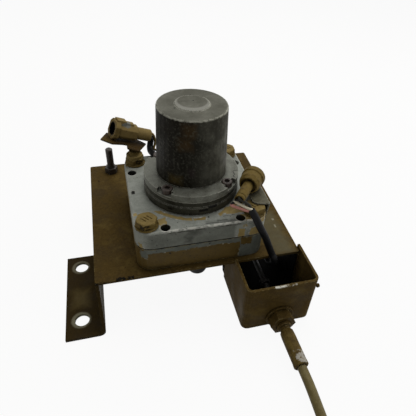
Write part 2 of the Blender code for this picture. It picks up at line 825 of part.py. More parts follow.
def make_housing_bolts():
    names = ("housing_bolt_front_left", "housing_bolt_front_right",
             "housing_bolt_rear_left", "housing_bolt_rear_right")
    seat = COVER_TOP + GAP
    head_bottom = seat + BOLT_FLANGE_T
    head_top = head_bottom + BOLT_HEAD_H
    tip = PLATE_BOTTOM - WELD_NUT_H - BOLT_TIP
    crown = 0.5 * BOLT_FLATS
    for name, (sx, sy), turn in zip(names, BOLT_SIGNS, BOLT_TURNS):
        x = sx * BOLT_SPREAD
        y = sy * BOLT_SPREAD
        profile = [(0, head_top), (crown * 0.96, head_top), (crown * 1.16, head_top - 0.0009),
                   (crown * 1.16, head_bottom - 0.0003), (0, head_bottom - 0.0003)]
        limit = turned("bolt_crown", profile, at(x, y), steel(), steps=SMALL_SIDES)
        head = slab(name, [plan(hexagon(x, y, BOLT_FLATS, turn))], head_bottom - 0.0003, head_top, steel())
        head = combine(head, [limit], "INTERSECT")
        shank = [(0, head_bottom), (0.5 * BOLT_FLANGE_D - 0.0004, head_bottom),
                 (0.5 * BOLT_FLANGE_D, head_bottom - 0.0005), (0.5 * BOLT_FLANGE_D, seat),
                 (0.5 * BOLT_D, seat), (0.5 * BOLT_D, tip + 0.001), (0.5 * BOLT_D - 0.001, tip), (0, tip)]
        united(head, [turned("bolt_shank", shank, at(x, y), steel(), steps=SMALL_SIDES)])


# Motor
def make_motor_can():
    seat_r = 0.5 * TOP_BEARING_D + GAP
    seat_out = seat_r + BEARING_SEAT_WALL
    roof = CAN_H - CAN_ROOF
    seat_low = roof - TOP_BEARING_H - BEARING_SEAT_OVER
    profile = [(0, CAN_H + CAN_PAD_H), (CAN_PAD_R - 0.0006, CAN_H + CAN_PAD_H), (CAN_PAD_R, CAN_H),
               (CAN_TOP_R - CAN_EDGE, CAN_H)]
    for x, y in arc(CAN_TOP_R - CAN_EDGE, CAN_H - CAN_EDGE, CAN_EDGE, 45, 0, 1):
        profile.append((x, y))
    profile += [(CAN_R, 0.0), (CAN_INSIDE_R, 0.0), (CAN_INSIDE_R, roof), (seat_out, roof),
                (seat_out, seat_low), (seat_r, seat_low), (seat_r, roof), (0, roof)]
    return turned("motor_can", profile, at(0, 0, CAN_BOTTOM), cast(), steps=TURN_SIDES)


def make_motor_flange():
    hole = plan(circle(0, 0, 0.5 * MOTOR_SHAFT_D + 0.002))
    screw_holes = [plan(circle(SCREW_RADIUS * math.cos(a), SCREW_RADIUS * math.sin(a),
                               0.5 * SCREW_D + GAP, HOLE_SIDES)) for a in SCREW_ANGLES]
    outer = plan(circle(0, 0, FLANGE_R, TURN_SIDES))
    flange = slab("motor_flange", [outer, hole] + screw_holes, FLANGE_BOTTOM, FLANGE_TOP, grey())
    cutters = []
    low = FLANGE_TOP - NOTCH_DEPTH
    high = FLANGE_TOP + 0.002
    for angle in SCREW_ANGLES:
        middle = math.degrees(angle)
        ring = arc(0, 0, NOTCH_FLOOR_R, middle - NOTCH_HALF_ANGLE, middle + NOTCH_HALF_ANGLE, 5)
        ring += arc(0, 0, FLANGE_R + 0.004, middle + NOTCH_HALF_ANGLE - 3, middle - NOTCH_HALF_ANGLE + 3, 5)
        cutters.append(slab("flange_notch", [plan(ring)], low, high))
        cutters.append(drill("flange_pocket", SCREW_RADIUS * math.cos(angle),
                             SCREW_RADIUS * math.sin(angle), low, high, SCREW_HEAD_D + 2 * BOLT_CLEARANCE))
    return cut(flange, cutters)


def make_adaptor_ring():
    spigot_r = 0.5 * PINION_HOLE_D - GAP
    seat_r = 0.5 * BEARING_D + GAP
    bore_r = seat_r - BEARING_LIP
    top = RING_H
    lip = top - BEARING_H - GAP
    profile = [(seat_r, top), (RING_R - RING_STEP, top), (RING_R - RING_STEP, top - 0.005), (RING_R, top - 0.006),
               (RING_R, 0.0), (spigot_r, 0.0), (spigot_r, -SPIGOT_H), (bore_r, -SPIGOT_H), (bore_r, lip),
               (seat_r, lip)]
    ring = turned("adaptor_ring", profile, at(0, 0, RING_BOTTOM), grey(), hollow=True, steps=TURN_SIDES)
    cutters = []
    depth = SCREW_LENGTH - (FLANGE_T - NOTCH_DEPTH)
    for angle in SCREW_ANGLES:
        cutters.append(drill("ring_screw_hole", SCREW_RADIUS * math.cos(angle), SCREW_RADIUS * math.sin(angle),
                             RING_TOP - depth - 0.001, RING_TOP + 0.002, SCREW_D + 2 * GAP, HOLE_SIDES))
    return cut(ring, cutters)


def make_flange_screws():
    seat = FLANGE_TOP - NOTCH_DEPTH + GAP
    top = seat + SCREW_HEAD_H
    head_r = 0.5 * SCREW_HEAD_D
    for number, angle in enumerate(SCREW_ANGLES, 1):
        place = at(SCREW_RADIUS * math.cos(angle), SCREW_RADIUS * math.sin(angle))
        profile = [(0, top), (head_r - 0.0006, top), (head_r, top - 0.0006), (head_r, seat),
                   (0.5 * SCREW_D, seat), (0.5 * SCREW_D, seat - SCREW_LENGTH), (0, seat - SCREW_LENGTH)]
        screw = turned("flange_screw_%d" % number, profile, place, dark_steel(), steps=SMALL_SIDES)
        x = SCREW_RADIUS * math.cos(angle)
        y = SCREW_RADIUS * math.sin(angle)
        socket = slab("screw_socket", [plan(hexagon(x, y, SCREW_SOCKET_D))], top - SCREW_SOCKET_DEPTH, top + 0.002)
        cut(screw, [socket])


def make_motor_inside():
    base = CAN_BOTTOM
    shaft_r = 0.5 * MOTOR_SHAFT_D
    roof = CAN_TOP - CAN_ROOF
    drum_high = roof - TOP_BEARING_H - BEARING_SEAT_OVER - COMMUTATOR_DROP
    drum_low = drum_high - COMMUTATOR_H
    core_high = drum_low - COMMUTATOR_LIFT
    magnet_low = base + MAGNET_LIFT
    core_low = magnet_low + ARMATURE_INSET
    magnet_high = core_high + ARMATURE_INSET
    for name, middle in (("magnet_left", 180.0), ("magnet_right", 0.0)):
        low = middle - MAGNET_HALF_ANGLE
        high = middle + MAGNET_HALF_ANGLE
        outline = arc(0, 0, MAGNET_R, low, high, 14) + arc(0, 0, MAGNET_R - MAGNET_T, high, low, 14)
        slab(name, [plan(outline)], magnet_low, magnet_high, dark_steel())
    core = slab("armature", [plan(circle(0, 0, ARMATURE_R, 40)), plan(circle(0, 0, shaft_r + RUNNING_GAP))],
                core_low, core_high, steel())
    slots = []
    for i in range(ARMATURE_SLOTS):
        turn = 360.0 * i / ARMATURE_SLOTS
        slot = slab("armature_slot", [[(ARMATURE_R - SLOT_DEPTH, -0.5 * SLOT_W), (ARMATURE_R + 0.002, -0.3 * SLOT_W),
                                       (ARMATURE_R + 0.002, 0.3 * SLOT_W), (ARMATURE_R - SLOT_DEPTH, 0.5 * SLOT_W)]],
                    core_low - 0.002, core_high + 0.002)
        slot.rotation_euler = (0, 0, math.radians(turn))
        slot.location = at(0, 0)
        slots.append(slot)
    cut(core, slots)
    slab("commutator", [plan(circle(0, 0, COMMUTATOR_R, SMALL_SIDES)), plan(circle(0, 0, shaft_r + RUNNING_GAP))],
         drum_low, drum_high, bronze())
    holder_low = drum_high - BRUSH_PLATE_T
    outer = plan(circle(0, 0, CAN_INSIDE_R - GAP, SIDES))
    inner = plan(circle(0, 0, COMMUTATOR_R + 0.004, SIDES))
    holder = slab("brush_holder", [outer, inner], holder_low, drum_high, black())
    brushes = []
    for side in (-1, 1):
        near = COMMUTATOR_R + GAP
        far = COMMUTATOR_R + 0.011
        left = min(side * near, side * far)
        brushes.append(block("brush", left, left + far - near, -0.5 * BRUSH_W, 0.5 * BRUSH_W,
                             holder_low - BRUSH_H, holder_low + 0.5 * BRUSH_PLATE_T))
    united(holder, brushes)
    slab("lower_bearing", [plan(circle(0, 0, 0.5 * BEARING_D, SIDES)),
                           plan(circle(0, 0, shaft_r + RUNNING_GAP))],
         RING_TOP - BEARING_H, RING_TOP, steel())
    slab("upper_bearing", [plan(circle(0, 0, 0.5 * TOP_BEARING_D, SIDES)),
                           plan(circle(0, 0, shaft_r + RUNNING_GAP))],
         roof - GAP - TOP_BEARING_H, roof - GAP, steel())
    profile = [(0, roof - 2 * GAP), (shaft_r - 0.0005, roof - 2 * GAP), (shaft_r, roof - 2 * GAP - 0.0005),
               (shaft_r, PINION_BOTTOM), (0, PINION_BOTTOM)]
    shaft = turned("motor_shaft", profile, at(0, 0), steel(), steps=SMALL_SIDES)
    set_origin(shaft, 0, 0, CAN_BOTTOM)


# Gear train
def make_gear_train():
    pinion_phase, wheel_phase = mesh_phases(0, 0, IDLER.x, IDLER.y, WHEEL_TEETH)
    small_phase, sector_phase = mesh_phases(IDLER.x, IDLER.y, OUTPUT_X, OUTPUT_Y, SECTOR_TEETH)
    bore = 0.5 * MOTOR_SHAFT_D + RUNNING_GAP
    pinion = slab("motor_pinion", [gear_outline(PINION_TEETH, pinion_phase), circle(0, 0, bore)],
                  PINION_BOTTOM, PINION_BOTTOM + PINION_H, steel())
    pinion.location = at(0, 0)
    idler_bore = 0.5 * IDLER_D + RUNNING_GAP
    wheel = slab("idler_gear", [gear_outline(WHEEL_TEETH, wheel_phase)], WHEEL_BOTTOM, WHEEL_BOTTOM + WHEEL_T, steel())
    small = slab("small_gear", [gear_outline(SMALL_TEETH, small_phase)], SMALL_BOTTOM,
                 WHEEL_BOTTOM + 0.5 * WHEEL_T, steel())
    hub = slab("wheel_hub", [circle(0, 0, WHEEL_HUB_R, SIDES)], WHEEL_BOTTOM + 0.5 * WHEEL_T,
               WHEEL_BOTTOM + WHEEL_T + 0.002, steel())
    wheel = united(wheel, [small, hub])
    bpy.ops.mesh.primitive_cylinder_add(vertices=SMALL_SIDES, radius=idler_bore, depth=0.08,
                                        location=(0, 0, WHEEL_BOTTOM))
    bore_cutter = bpy.context.object
    bore_cutter.name = "idler_bore"
    wheel = combine(wheel, [bore_cutter], "DIFFERENCE")
    wheel.location = at(IDLER.x, IDLER.y)
    heading = math.degrees(sector_phase - math.pi / SECTOR_TEETH)
    side = int(SECTOR_HALF_ANGLE * SECTOR_TEETH / 360.0)
    teeth = gear_outline(SECTOR_TEETH, sector_phase, -side, 2 * side)
    hub_arc = arc(0, 0, SECTOR_HUB_R, heading + SECTOR_HALF_ANGLE + 40, heading + 320 - SECTOR_HALF_ANGLE, 24)
    sector = slab("output_gear", [teeth + hub_arc], SECTOR_BOTTOM, SECTOR_BOTTOM + SECTOR_T, steel())
    hub = slab("sector_hub", [circle(0, 0, SECTOR_HUB_R, SIDES)], SECTOR_HUB_BOTTOM,
               SECTOR_BOTTOM + SECTOR_T + 0.002, steel())
    sector = united(sector, [hub])
    bpy.ops.mesh.primitive_cylinder_add(vertices=SIDES, radius=0.5 * OUTPUT_D + RUNNING_GAP, depth=0.08,
                                        location=(0, 0, SECTOR_BOTTOM))
    bore_cutter = bpy.context.object
    bore_cutter.name = "sector_bore"
    sector = combine(sector, [bore_cutter], "DIFFERENCE")
    sector.location = at(OUTPUT_X, OUTPUT_Y)


def make_shafts():
    idler_r = 0.5 * IDLER_D
    tip_r = 0.5 * IDLER_TIP_D
    top = ROOF_UNDER + AXLE_SOCKET - GAP
    step = BODY_BOTTOM
    tip = PLATE_BOTTOM - GAP - SENSOR_SOCKET + GAP
    profile = [(0, top), (idler_r - 0.0005, top), (idler_r, top - 0.0005), (idler_r, step), (tip_r, step),
               (tip_r, tip), (0, tip)]
    axle = turned("idler_axle", profile, at(IDLER.x, IDLER.y), steel(), steps=SMALL_SIDES)
    set_origin(axle, IDLER.x, IDLER.y, FLOOR_TOP)
    shaft_r = 0.5 * OUTPUT_D
    thread_r = 0.5 * LEVER_BORE_D
    end = LEVER_BOTTOM - GAP - LEVER_NUT_H - SHAFT_TIP
    profile = [(0, top), (shaft_r - 0.0005, top), (shaft_r, top - 0.0005), (shaft_r, LEVER_TOP + GAP),
               (thread_r, LEVER_TOP + GAP), (thread_r, end + 0.0008), (thread_r - 0.0008, end), (0, end)]
    shaft = turned("output_shaft", profile, at(OUTPUT_X, OUTPUT_Y), steel())
    set_origin(shaft, OUTPUT_X, OUTPUT_Y, FLOOR_TOP)
    bore = shaft_r + RUNNING_GAP
    profile = [(BUSH_FLANGE_R, BUSH_FLANGE_BOTTOM + BUSH_FLANGE_T), (BUSH_FLANGE_R, BUSH_FLANGE_BOTTOM),
               (bore + BUSH_WALL, BUSH_FLANGE_BOTTOM), (bore + BUSH_WALL, BOSS_BOTTOM), (bore, BOSS_BOTTOM),
               (bore, BUSH_FLANGE_BOTTOM + BUSH_FLANGE_T)]
    turned("output_bush", profile, at(OUTPUT_X, OUTPUT_Y), bronze(), hollow=True)


# Output lever, pin and control rod
def make_lever():
    outline = stadium(OUTPUT_X, OUTPUT_Y, LEVER_HUB_R, HUB_X, OUTPUT_Y, LEVER_EYE_R)
    shaft_hole = circle(OUTPUT_X, OUTPUT_Y, 0.5 * LEVER_BORE_D + RUNNING_GAP, SIDES)
    pin_hole = circle(HUB_X, OUTPUT_Y, 0.5 * PIN_D + RUNNING_GAP)
    lever = slab("output_lever", [plan(outline), plan(shaft_hole), plan(pin_hole)], LEVER_BOTTOM, LEVER_TOP, steel())
    set_origin(lever, OUTPUT_X, OUTPUT_Y, LEVER_TOP)
    nut = [plan(hexagon(OUTPUT_X, OUTPUT_Y, LEVER_NUT_FLATS)),
           plan(circle(OUTPUT_X, OUTPUT_Y, 0.5 * LEVER_BORE_D + GAP))]
    made = slab("lever_nut", nut, LEVER_BOTTOM - GAP - LEVER_NUT_H, LEVER_BOTTOM - GAP, steel())
    set_origin(made, OUTPUT_X, OUTPUT_Y, LEVER_BOTTOM)
    head = LEVER_TOP + GAP
    tip = HUB_Z - 0.5 * ROD_EYE_T - PIN_BELOW
    profile = [(0, head + PIN_HEAD_H), (PIN_HEAD_R - 0.0005, head + PIN_HEAD_H), (PIN_HEAD_R, head + PIN_HEAD_H - 0.0005),
               (PIN_HEAD_R, head), (0.5 * PIN_D, head), (0.5 * PIN_D, tip + 0.0005), (0.5 * PIN_D - 0.0005, tip), (0, tip)]
    pin = turned("lever_pin", profile, at(HUB_X, OUTPUT_Y), steel(), steps=SMALL_SIDES)
    set_origin(pin, OUTPUT_X, OUTPUT_Y, LEVER_TOP)


def make_cable_rod():
    near = ROD_EYE_X - ROD_SLOT_HALF
    far = ROD_EYE_X + ROD_SLOT_HALF
    slot_r = 0.5 * PIN_D + GAP
    outer = stadium(near, OUTPUT_Y, ROD_EYE_R, far, OUTPUT_Y, ROD_EYE_R)
    slot = stadium(near, OUTPUT_Y, slot_r, far, OUTPUT_Y, slot_r)
    eye = slab("cable_rod", [plan(outer), plan(slot)], HUB_Z - 0.5 * ROD_EYE_T, HUB_Z + 0.5 * ROD_EYE_T, steel())
    front = -BOX_WALL_IN + HUB_IN - ROD_INSIDE_HUB
    rear = OUTPUT_Y - 0.5 * (ROD_EYE_R + slot_r)
    rod = drill_y("rod", HUB_X, HUB_Z, front, rear, ROD_D)
    eye = united(eye, [rod])
    set_origin(eye, HUB_X, OUTPUT_Y, HUB_Z)
    nut = [moved(hexagon(HUB_X, HUB_Z, ROD_NUT_FLATS, 30), MOTOR_X), moved(circle(HUB_X, HUB_Z, 0.5 * ROD_D + GAP), MOTOR_X)]
    middle = MOTOR_Y - ROD_NUT_Y
    made = slab("rod_nut", nut, middle - 0.5 * ROD_NUT_H, middle + 0.5 * ROD_NUT_H, steel(), "Y")
    set_origin(made, HUB_X, OUTPUT_Y, HUB_Z)


# Bulkhead fitting: heights of these profiles run outward from the box wall's outer face
def on_hub(name, profile, material, hollow=True, steps=SIDES):
    return turned(name, profile, at(HUB_X, -BOX_FRONT, HUB_Z), material, "-Y", hollow, steps)


def hub_nut(name, inner, outer):
    outline = [moved(hexagon(HUB_X, HUB_Z, NUT_FLATS, 0), MOTOR_X), moved(circle(HUB_X, HUB_Z, 0.5 * HUB_D + GAP), MOTOR_X)]
    low = MOTOR_Y - BOX_FRONT - outer
    high = MOTOR_Y - BOX_FRONT - inner
    return soften(slab(name, outline, low, high, olive(), "Y"), 0.0007, 1, 70)


def make_bulkhead_fitting():
    bore = 0.5 * ROD_D + RUNNING_GAP
    thread_r = 0.5 * HUB_D
    neck_r = 0.5 * HUB_NECK_D
    inner = -BOX_T - HUB_IN
    profile = [(bore, HUB_OUT + HUB_NECK), (neck_r, HUB_OUT + HUB_NECK), (neck_r, HUB_OUT),
               (thread_r - 0.0008, HUB_OUT), (thread_r, HUB_OUT - 0.0008), (thread_r, inner + 0.0008),
               (thread_r - 0.0008, inner), (bore, inner)]
    on_hub("bulkhead_hub", profile, olive(), steps=SMALL_SIDES)
    hole = thread_r + GAP
    profile = [(hole, WASHER_OUT + WASHER_T), (WASHER_R - 0.0004, WASHER_OUT + WASHER_T),
               (WASHER_R, WASHER_OUT + WASHER_T - 0.0004), (WASHER_R, WASHER_OUT), (hole, WASHER_OUT)]
    on_hub("hub_washer", profile, olive())
    hub_nut("outer_nut", NUT_OUT, NUT_OUT + OUTER_NUT_H)
    hub_nut("inner_nut", -BOX_T - GAP - INNER_NUT_H, -BOX_T - GAP)
    sleeve_r = 0.5 * SLEEVE_D
    crimp_r = 0.5 * SLEEVE_CRIMP_D
    end = SLEEVE_START + SLEEVE_L
    start = SLEEVE_START
    profile = [(0, end), (crimp_r, end), (crimp_r, end - 0.004), (sleeve_r, end - 0.005)]
    for crimp in (0.62, 0.38):
        middle = start + crimp * SLEEVE_L
        profile += [(sleeve_r, middle + 0.0035), (crimp_r, middle + 0.0025), (crimp_r, middle - 0.0025),
                    (sleeve_r, middle - 0.0035)]
    profile += [(sleeve_r, start + SLEEVE_NOSE), (neck_r, start), (0, start)]
    on_hub("crimp_sleeve", profile, olive(), hollow=False, steps=SMALL_SIDES)


# The conduit settles on the floor and is wound there into a coil that climbs one diameter a turn
def make_conduit():
    radius = 0.5 * CONDUIT_D
    lying = radius + GAP
    start_y = -BOX_FRONT - CONDUIT_START
    coil_x = HUB_X - COIL_R
    coil_y = start_y - COIL_AHEAD
    coil_height = CONDUIT_D * (COIL_TURNS + 1)
    inner_r = COIL_R - radius
    outer_r = COIL_R + radius
    clear = math.sqrt((outer_r + 2 * GAP) ** 2 - inner_r ** 2)
    end_y = coil_y + clear
    mouth = start_y - end_y
    route = [(HUB_X, start_y, HUB_Z), (HUB_X, start_y - 0.20 * mouth, HUB_Z - 0.0005),
             (HUB_X, start_y - 0.50 * mouth, HUB_Z - 0.0048), (HUB_X, start_y - 0.80 * mouth, lying + 0.0008),
             (HUB_X, end_y, lying)]
    places = [at(x, y, z) for x, y, z in route]
    tube("conduit", smooth_route(places, 1.5 * CONDUIT_D), CONDUIT_D, olive())
    shoulder = 0.3 * CONDUIT_D
    profile = [(inner_r + shoulder, coil_height), (outer_r - shoulder, coil_height),
               (outer_r, coil_height - shoulder), (outer_r, shoulder), (outer_r - shoulder, 0.0),
               (inner_r + shoulder, 0.0), (inner_r, shoulder), (inner_r, coil_height - shoulder)]
    turned("conduit_coil", profile, at(coil_x, coil_y, GAP), olive(), hollow=True)
    row_y = coil_y - COIL_R
    leave_x = coil_x - clear
    leave_z = lying + CONDUIT_D * COIL_TURNS
    hub_r = 0.5 * FAR_HUB_D
    far_z = hub_r + GAP
    route = [(leave_x, row_y, leave_z), (leave_x - 0.2 * TAIL_L, row_y, leave_z - 0.04 * (leave_z - far_z)),
             (leave_x - 0.5 * TAIL_L, row_y, 0.5 * (leave_z + far_z)),
             (leave_x - 0.8 * TAIL_L, row_y, far_z + 0.04 * (leave_z - far_z)), (leave_x - TAIL_L, row_y, far_z)]
    places = [at(x, y, z) for x, y, z in route]
    tube("conduit_tail", smooth_route(places, CONDUIT_D), CONDUIT_D, olive())
    sleeve_r = 0.5 * SLEEVE_D
    bore = 0.5 * ROD_D + RUNNING_GAP
    length = FAR_SLEEVE_L + FAR_HUB_L
    blind = length - FAR_ROD_IN - ROD_STROKE - GAP
    profile = [(0, blind), (bore, blind), (bore, length), (hub_r - 0.0008, length), (hub_r, length - 0.0008),
               (hub_r, FAR_SLEEVE_L), (sleeve_r, FAR_SLEEVE_L), (sleeve_r, 0.003), (radius, 0.0), (0, 0.0)]
    lay = Matrix.Rotation(math.radians(-90), 4, "Y")
    far_x = leave_x - TAIL_L - GAP
    fitting = turned("far_end_fitting", profile, (0, 0, 0), olive(), steps=SMALL_SIDES)
    fitting.data.transform(lay)
    fitting.location = at(far_x, row_y, far_z)
    end_x = far_x - length
    rod_outline = [moved(circle(row_y, far_z, 0.5 * ROD_D), MOTOR_Y)]
    rod = slab("far_rod", rod_outline, MOTOR_X + end_x - FAR_ROD_OUT, MOTOR_X + end_x + FAR_ROD_IN, steel(), "X")
    set_origin(rod, end_x, row_y, far_z)


# Position sensor, its cable, and the stud at the plate's rear
def make_sensor():
    top = PLATE_BOTTOM - GAP
    socket_r = 0.5 * IDLER_TIP_D + RUNNING_GAP
    low = top - SENSOR_H
    floor = top - SENSOR_SOCKET - GAP
    profile = [(0, floor), (socket_r, floor), (socket_r, top), (SENSOR_R, top), (SENSOR_R, low + 0.001),
               (SENSOR_R - 0.001, low), (0, low)]
    turned("position_sensor", profile, at(IDLER.x, IDLER.y), black())
    r = 0.5 * SENSOR_CABLE_D
    passing = 0.5 * (OUTPUT_Y - 0.5 * SHAFT_BOSS_D - BOX_LEFT_REAR)
    route = [(IDLER.x + SENSOR_R + GAP, IDLER.y - 0.0025, low + 0.0065), (0.0215, passing, 0.0445),
             (BOX_LEFT + 0.001, passing, 0.0445), (0.0450, -0.0338, 0.0446), (0.0560, -0.0360, 0.0446),
             (0.0632, -0.0440, 0.0448), (0.0660, -0.0550, 0.0450), (0.0664, -0.0665, 0.0462),
             (0.0680, -0.0715, 0.0515), (0.0675, -0.0715, 0.0565),
             (0.0655, -0.0690, 0.0605), (0.0600, -0.0672, 0.0700), (0.0545, -0.0672, 0.0850),
             (0.0500, -0.0678, 0.0975), JACKET_BEND, JACKET_START]
    cord("sensor_cable", route, 2 * r, black())


def make_rear_stud():
    r = 0.5 * STUD_D
    top = PLATE_TOP + STUD_UP
    head_top = PLATE_BOTTOM - GAP
    low = head_top - STUD_HEAD_T
    profile = [(0, top), (r - 0.0012, top), (r, top - 0.0012), (r, head_top), (r + 0.003, head_top),
               (r + 0.003, low + 0.0005), (r + 0.0025, low), (0, low)]
    turned("rear_stud", profile, at(STUD_X, STUD_Y), dark_steel(), steps=SMALL_SIDES)
    outline = [plan(hexagon(STUD_X, STUD_Y, STUD_NUT_FLATS, 10)), plan(circle(STUD_X, STUD_Y, r + GAP))]
    soften(slab("stud_nut", outline, PLATE_TOP + GAP, PLATE_TOP + GAP + STUD_NUT_H, dark_steel()), 0.0005, 1, 70)


# Connectors: the mouth looks along +X, then the piece is tilted up, turned and set in place
def placed(obj, x, y, z, turn, tilt=0.0):
    obj.rotation_euler = (0, -math.radians(tilt), math.radians(turn))
    obj.location = at(x, y, z)
    return obj


def make_left_connector():
    half = 0.5 * LEFT_W
    body = slab("left_connector", [chamfered_square(half, LEFT_CHAMFER)], -LEFT_L, 0.0, olive(), "X")
    collar = slab("collar", [chamfered_square(half + LEFT_COLLAR, LEFT_CHAMFER)], -LEFT_COLLAR_L, 0.0, olive(), "X")
    raised = []
    for wide, high, length in ((LEFT_RIDGE_W, LEFT_RIDGE_H, LEFT_RIDGE_L), (LEFT_CAP_W, LEFT_CAP_H, LEFT_CAP_L)):
        outline = [(-0.5 * wide, half - 0.002), (0.5 * wide, half - 0.002),
                   (0.4 * wide, half + high), (-0.4 * wide, half + high)]
        raised.append(slab("ridge", [outline], -length, -LEFT_WALL, olive(), "X"))
    body = united(body, [collar] + raised)
    mouth = slab("mouth", [chamfered_square(half - LEFT_WALL, LEFT_CHAMFER - 0.5 * LEFT_WALL)],
                 -LEFT_MOUTH_DEPTH, 0.002, None, "X")
    body = combine(body, [mouth], "DIFFERENCE")
    placed(body, LEFT_X, LEFT_Y, LEFT_Z, LEFT_TURN, LEFT_TILT)
    boot = slab("left_boot", [circle(0, 0, 0.5 * LEFT_BOOT_D, 28)], -LEFT_L - GAP - LEFT_BOOT_L, -LEFT_L - GAP,
                olive(), "X")
    placed(boot, LEFT_X, LEFT_Y, LEFT_Z, LEFT_TURN, LEFT_TILT)


# The shelf lies along the tilted connector, and its riser ends inside the shelf
def make_left_bracket():
    side = LEFT_SHELF_SIDE
    step = LEFT_SHELF_STEP
    end = -LEFT_L - LEFT_BOOT_L
    outline = [(0.0, -side), (LEFT_SHELF_TONGUE, side - 0.0015), (0.0016, side + 0.0045), (-step, side + 0.0015)]
    outline += [(-step - 0.0045, side + 0.0015), (-step - 0.002, 2 * side), (-2.2 * step, 2 * side + 0.0035)]
    outline += [(end, 0.001), (end + step, -side)]
    top = -(0.5 * LEFT_W + LEFT_COLLAR + GAP)
    shelf = slab("left_bracket", [outline], top - BRACKET_T, top, olive())
    placed(shelf, LEFT_X, LEFT_Y, LEFT_Z, LEFT_TURN, LEFT_TILT)
    turn = math.radians(LEFT_TURN)
    tilt = math.radians(LEFT_TILT)
    normal = Vector((-math.sin(tilt) * math.cos(turn), -math.sin(tilt) * math.sin(turn), math.cos(tilt)))
    wall = 0.5 * HOUSING + GAP

    def shelf_height(x):
        lean = normal.x * (x - LEFT_X) + normal.y * (wall - LEFT_Y)
        return LEFT_Z + (top - 0.5 * BRACKET_T - lean) / normal.z

    left = -LEFT_RISER_LEFT
    right = -LEFT_RISER_RIGHT
    front = [(left, shelf_height(left)), (left, LEFT_RISER_LOW), (right, LEFT_RISER_LOW),
             (right, shelf_height(right))]
    riser = slab("riser", [moved(front, MOTOR_X)], MOTOR_Y + wall, MOTOR_Y + wall + BRACKET_T, olive(), "Y")
    rivet = drill_y("rivet", 0.5 * (left + right), LEFT_RISER_LOW + RIVET_R, wall + 0.5 * BRACKET_T,
                    wall + BRACKET_T + RIVET_T, 1.6 * RIVET_R, 16)
    return united(baked(shelf), [riser, rivet])


def make_right_connector():
    boot_r = 0.5 * RIGHT_BOOT_D
    shell_start = RIGHT_BOOT_L - RIGHT_RECESS
    end = shell_start + RIGHT_L
    back = shell_start + RIGHT_RECESS + GAP
    mouth = end - RIGHT_MOUTH_DEPTH
    profile = [(0, mouth), (RIGHT_MOUTH_R, mouth), (RIGHT_MOUTH_R, end), (RIGHT_R + RIGHT_COLLAR, end),
               (RIGHT_R + RIGHT_COLLAR, end - RIGHT_COLLAR_L), (RIGHT_R, end - RIGHT_COLLAR_L - 0.001),
               (RIGHT_R, shell_start + RIGHT_SHOULDER), (RIGHT_RECESS_R + 0.0012, shell_start),
               (RIGHT_RECESS_R, shell_start), (RIGHT_RECESS_R, back), (0, back)]
    tab_top = COVER_TOP + GAP + BOLT_FLANGE_T + BOLT_HEAD_H + GAP + BRACKET_T
    centre_z = tab_top + GAP + RIGHT_R + RIGHT_COLLAR
    lay = Matrix.Rotation(math.radians(90), 4, "Y")
    shell = turned("right_connector", profile, (0, 0, 0), olive())
    shell.data.transform(lay)
    placed(shell, RIGHT_X, RIGHT_Y, centre_z, RIGHT_TURN)
    boot_end = back - GAP
    profile = [(0, boot_end), (boot_r, boot_end), (boot_r, 0.001), (boot_r - 0.001, 0.0), (0, 0.0)]
    boot = turned("right_boot", profile, (0, 0, 0), olive(), steps=28)
    boot.data.transform(lay)
    placed(boot, RIGHT_X, RIGHT_Y, centre_z, RIGHT_TURN)
    return centre_z


def make_right_bracket():
    wall = 0.5 * HOUSING + GAP
    tab_low = COVER_TOP + GAP + BOLT_FLANGE_T + BOLT_HEAD_H + GAP
    outline = [(RIGHT_TAB_LEFT, -RIGHT_TAB_REAR - 0.008), (RIGHT_TAB_LEFT, -RIGHT_TAB_FRONT + 0.004),
               (RIGHT_TAB_LEFT + 0.004, -RIGHT_TAB_FRONT), (wall + BRACKET_T, -RIGHT_TAB_FRONT - 0.002),
               (wall + BRACKET_T, -RIGHT_TAB_REAR), (RIGHT_TAB_LEFT + 0.006, -RIGHT_TAB_REAR)]
    tab = slab("right_bracket", [plan(outline)], tab_low, tab_low + BRACKET_T, grey())
    riser_low = tab_low - RIGHT_RISER_DROP
    side = [(-RIGHT_TAB_FRONT - 0.002, tab_low + BRACKET_T), (-RIGHT_TAB_FRONT + 0.006, riser_low),
            (-RIGHT_TAB_REAR - 0.010, riser_low), (-RIGHT_TAB_REAR, tab_low + BRACKET_T)]
    riser = slab("riser", [moved(side, MOTOR_Y)], MOTOR_X + wall, MOTOR_X + wall + BRACKET_T, grey(), "X")
    middle = -0.5 * (RIGHT_TAB_FRONT + RIGHT_TAB_REAR)
    rivet = slab("rivet", [moved(circle(middle, riser_low + 0.008, RIVET_R, 16), MOTOR_Y)],
                 MOTOR_X + wall + 0.5 * BRACKET_T, MOTOR_X + wall + BRACKET_T + RIVET_T, grey(), "X")
    return united(tab, [riser, rivet])


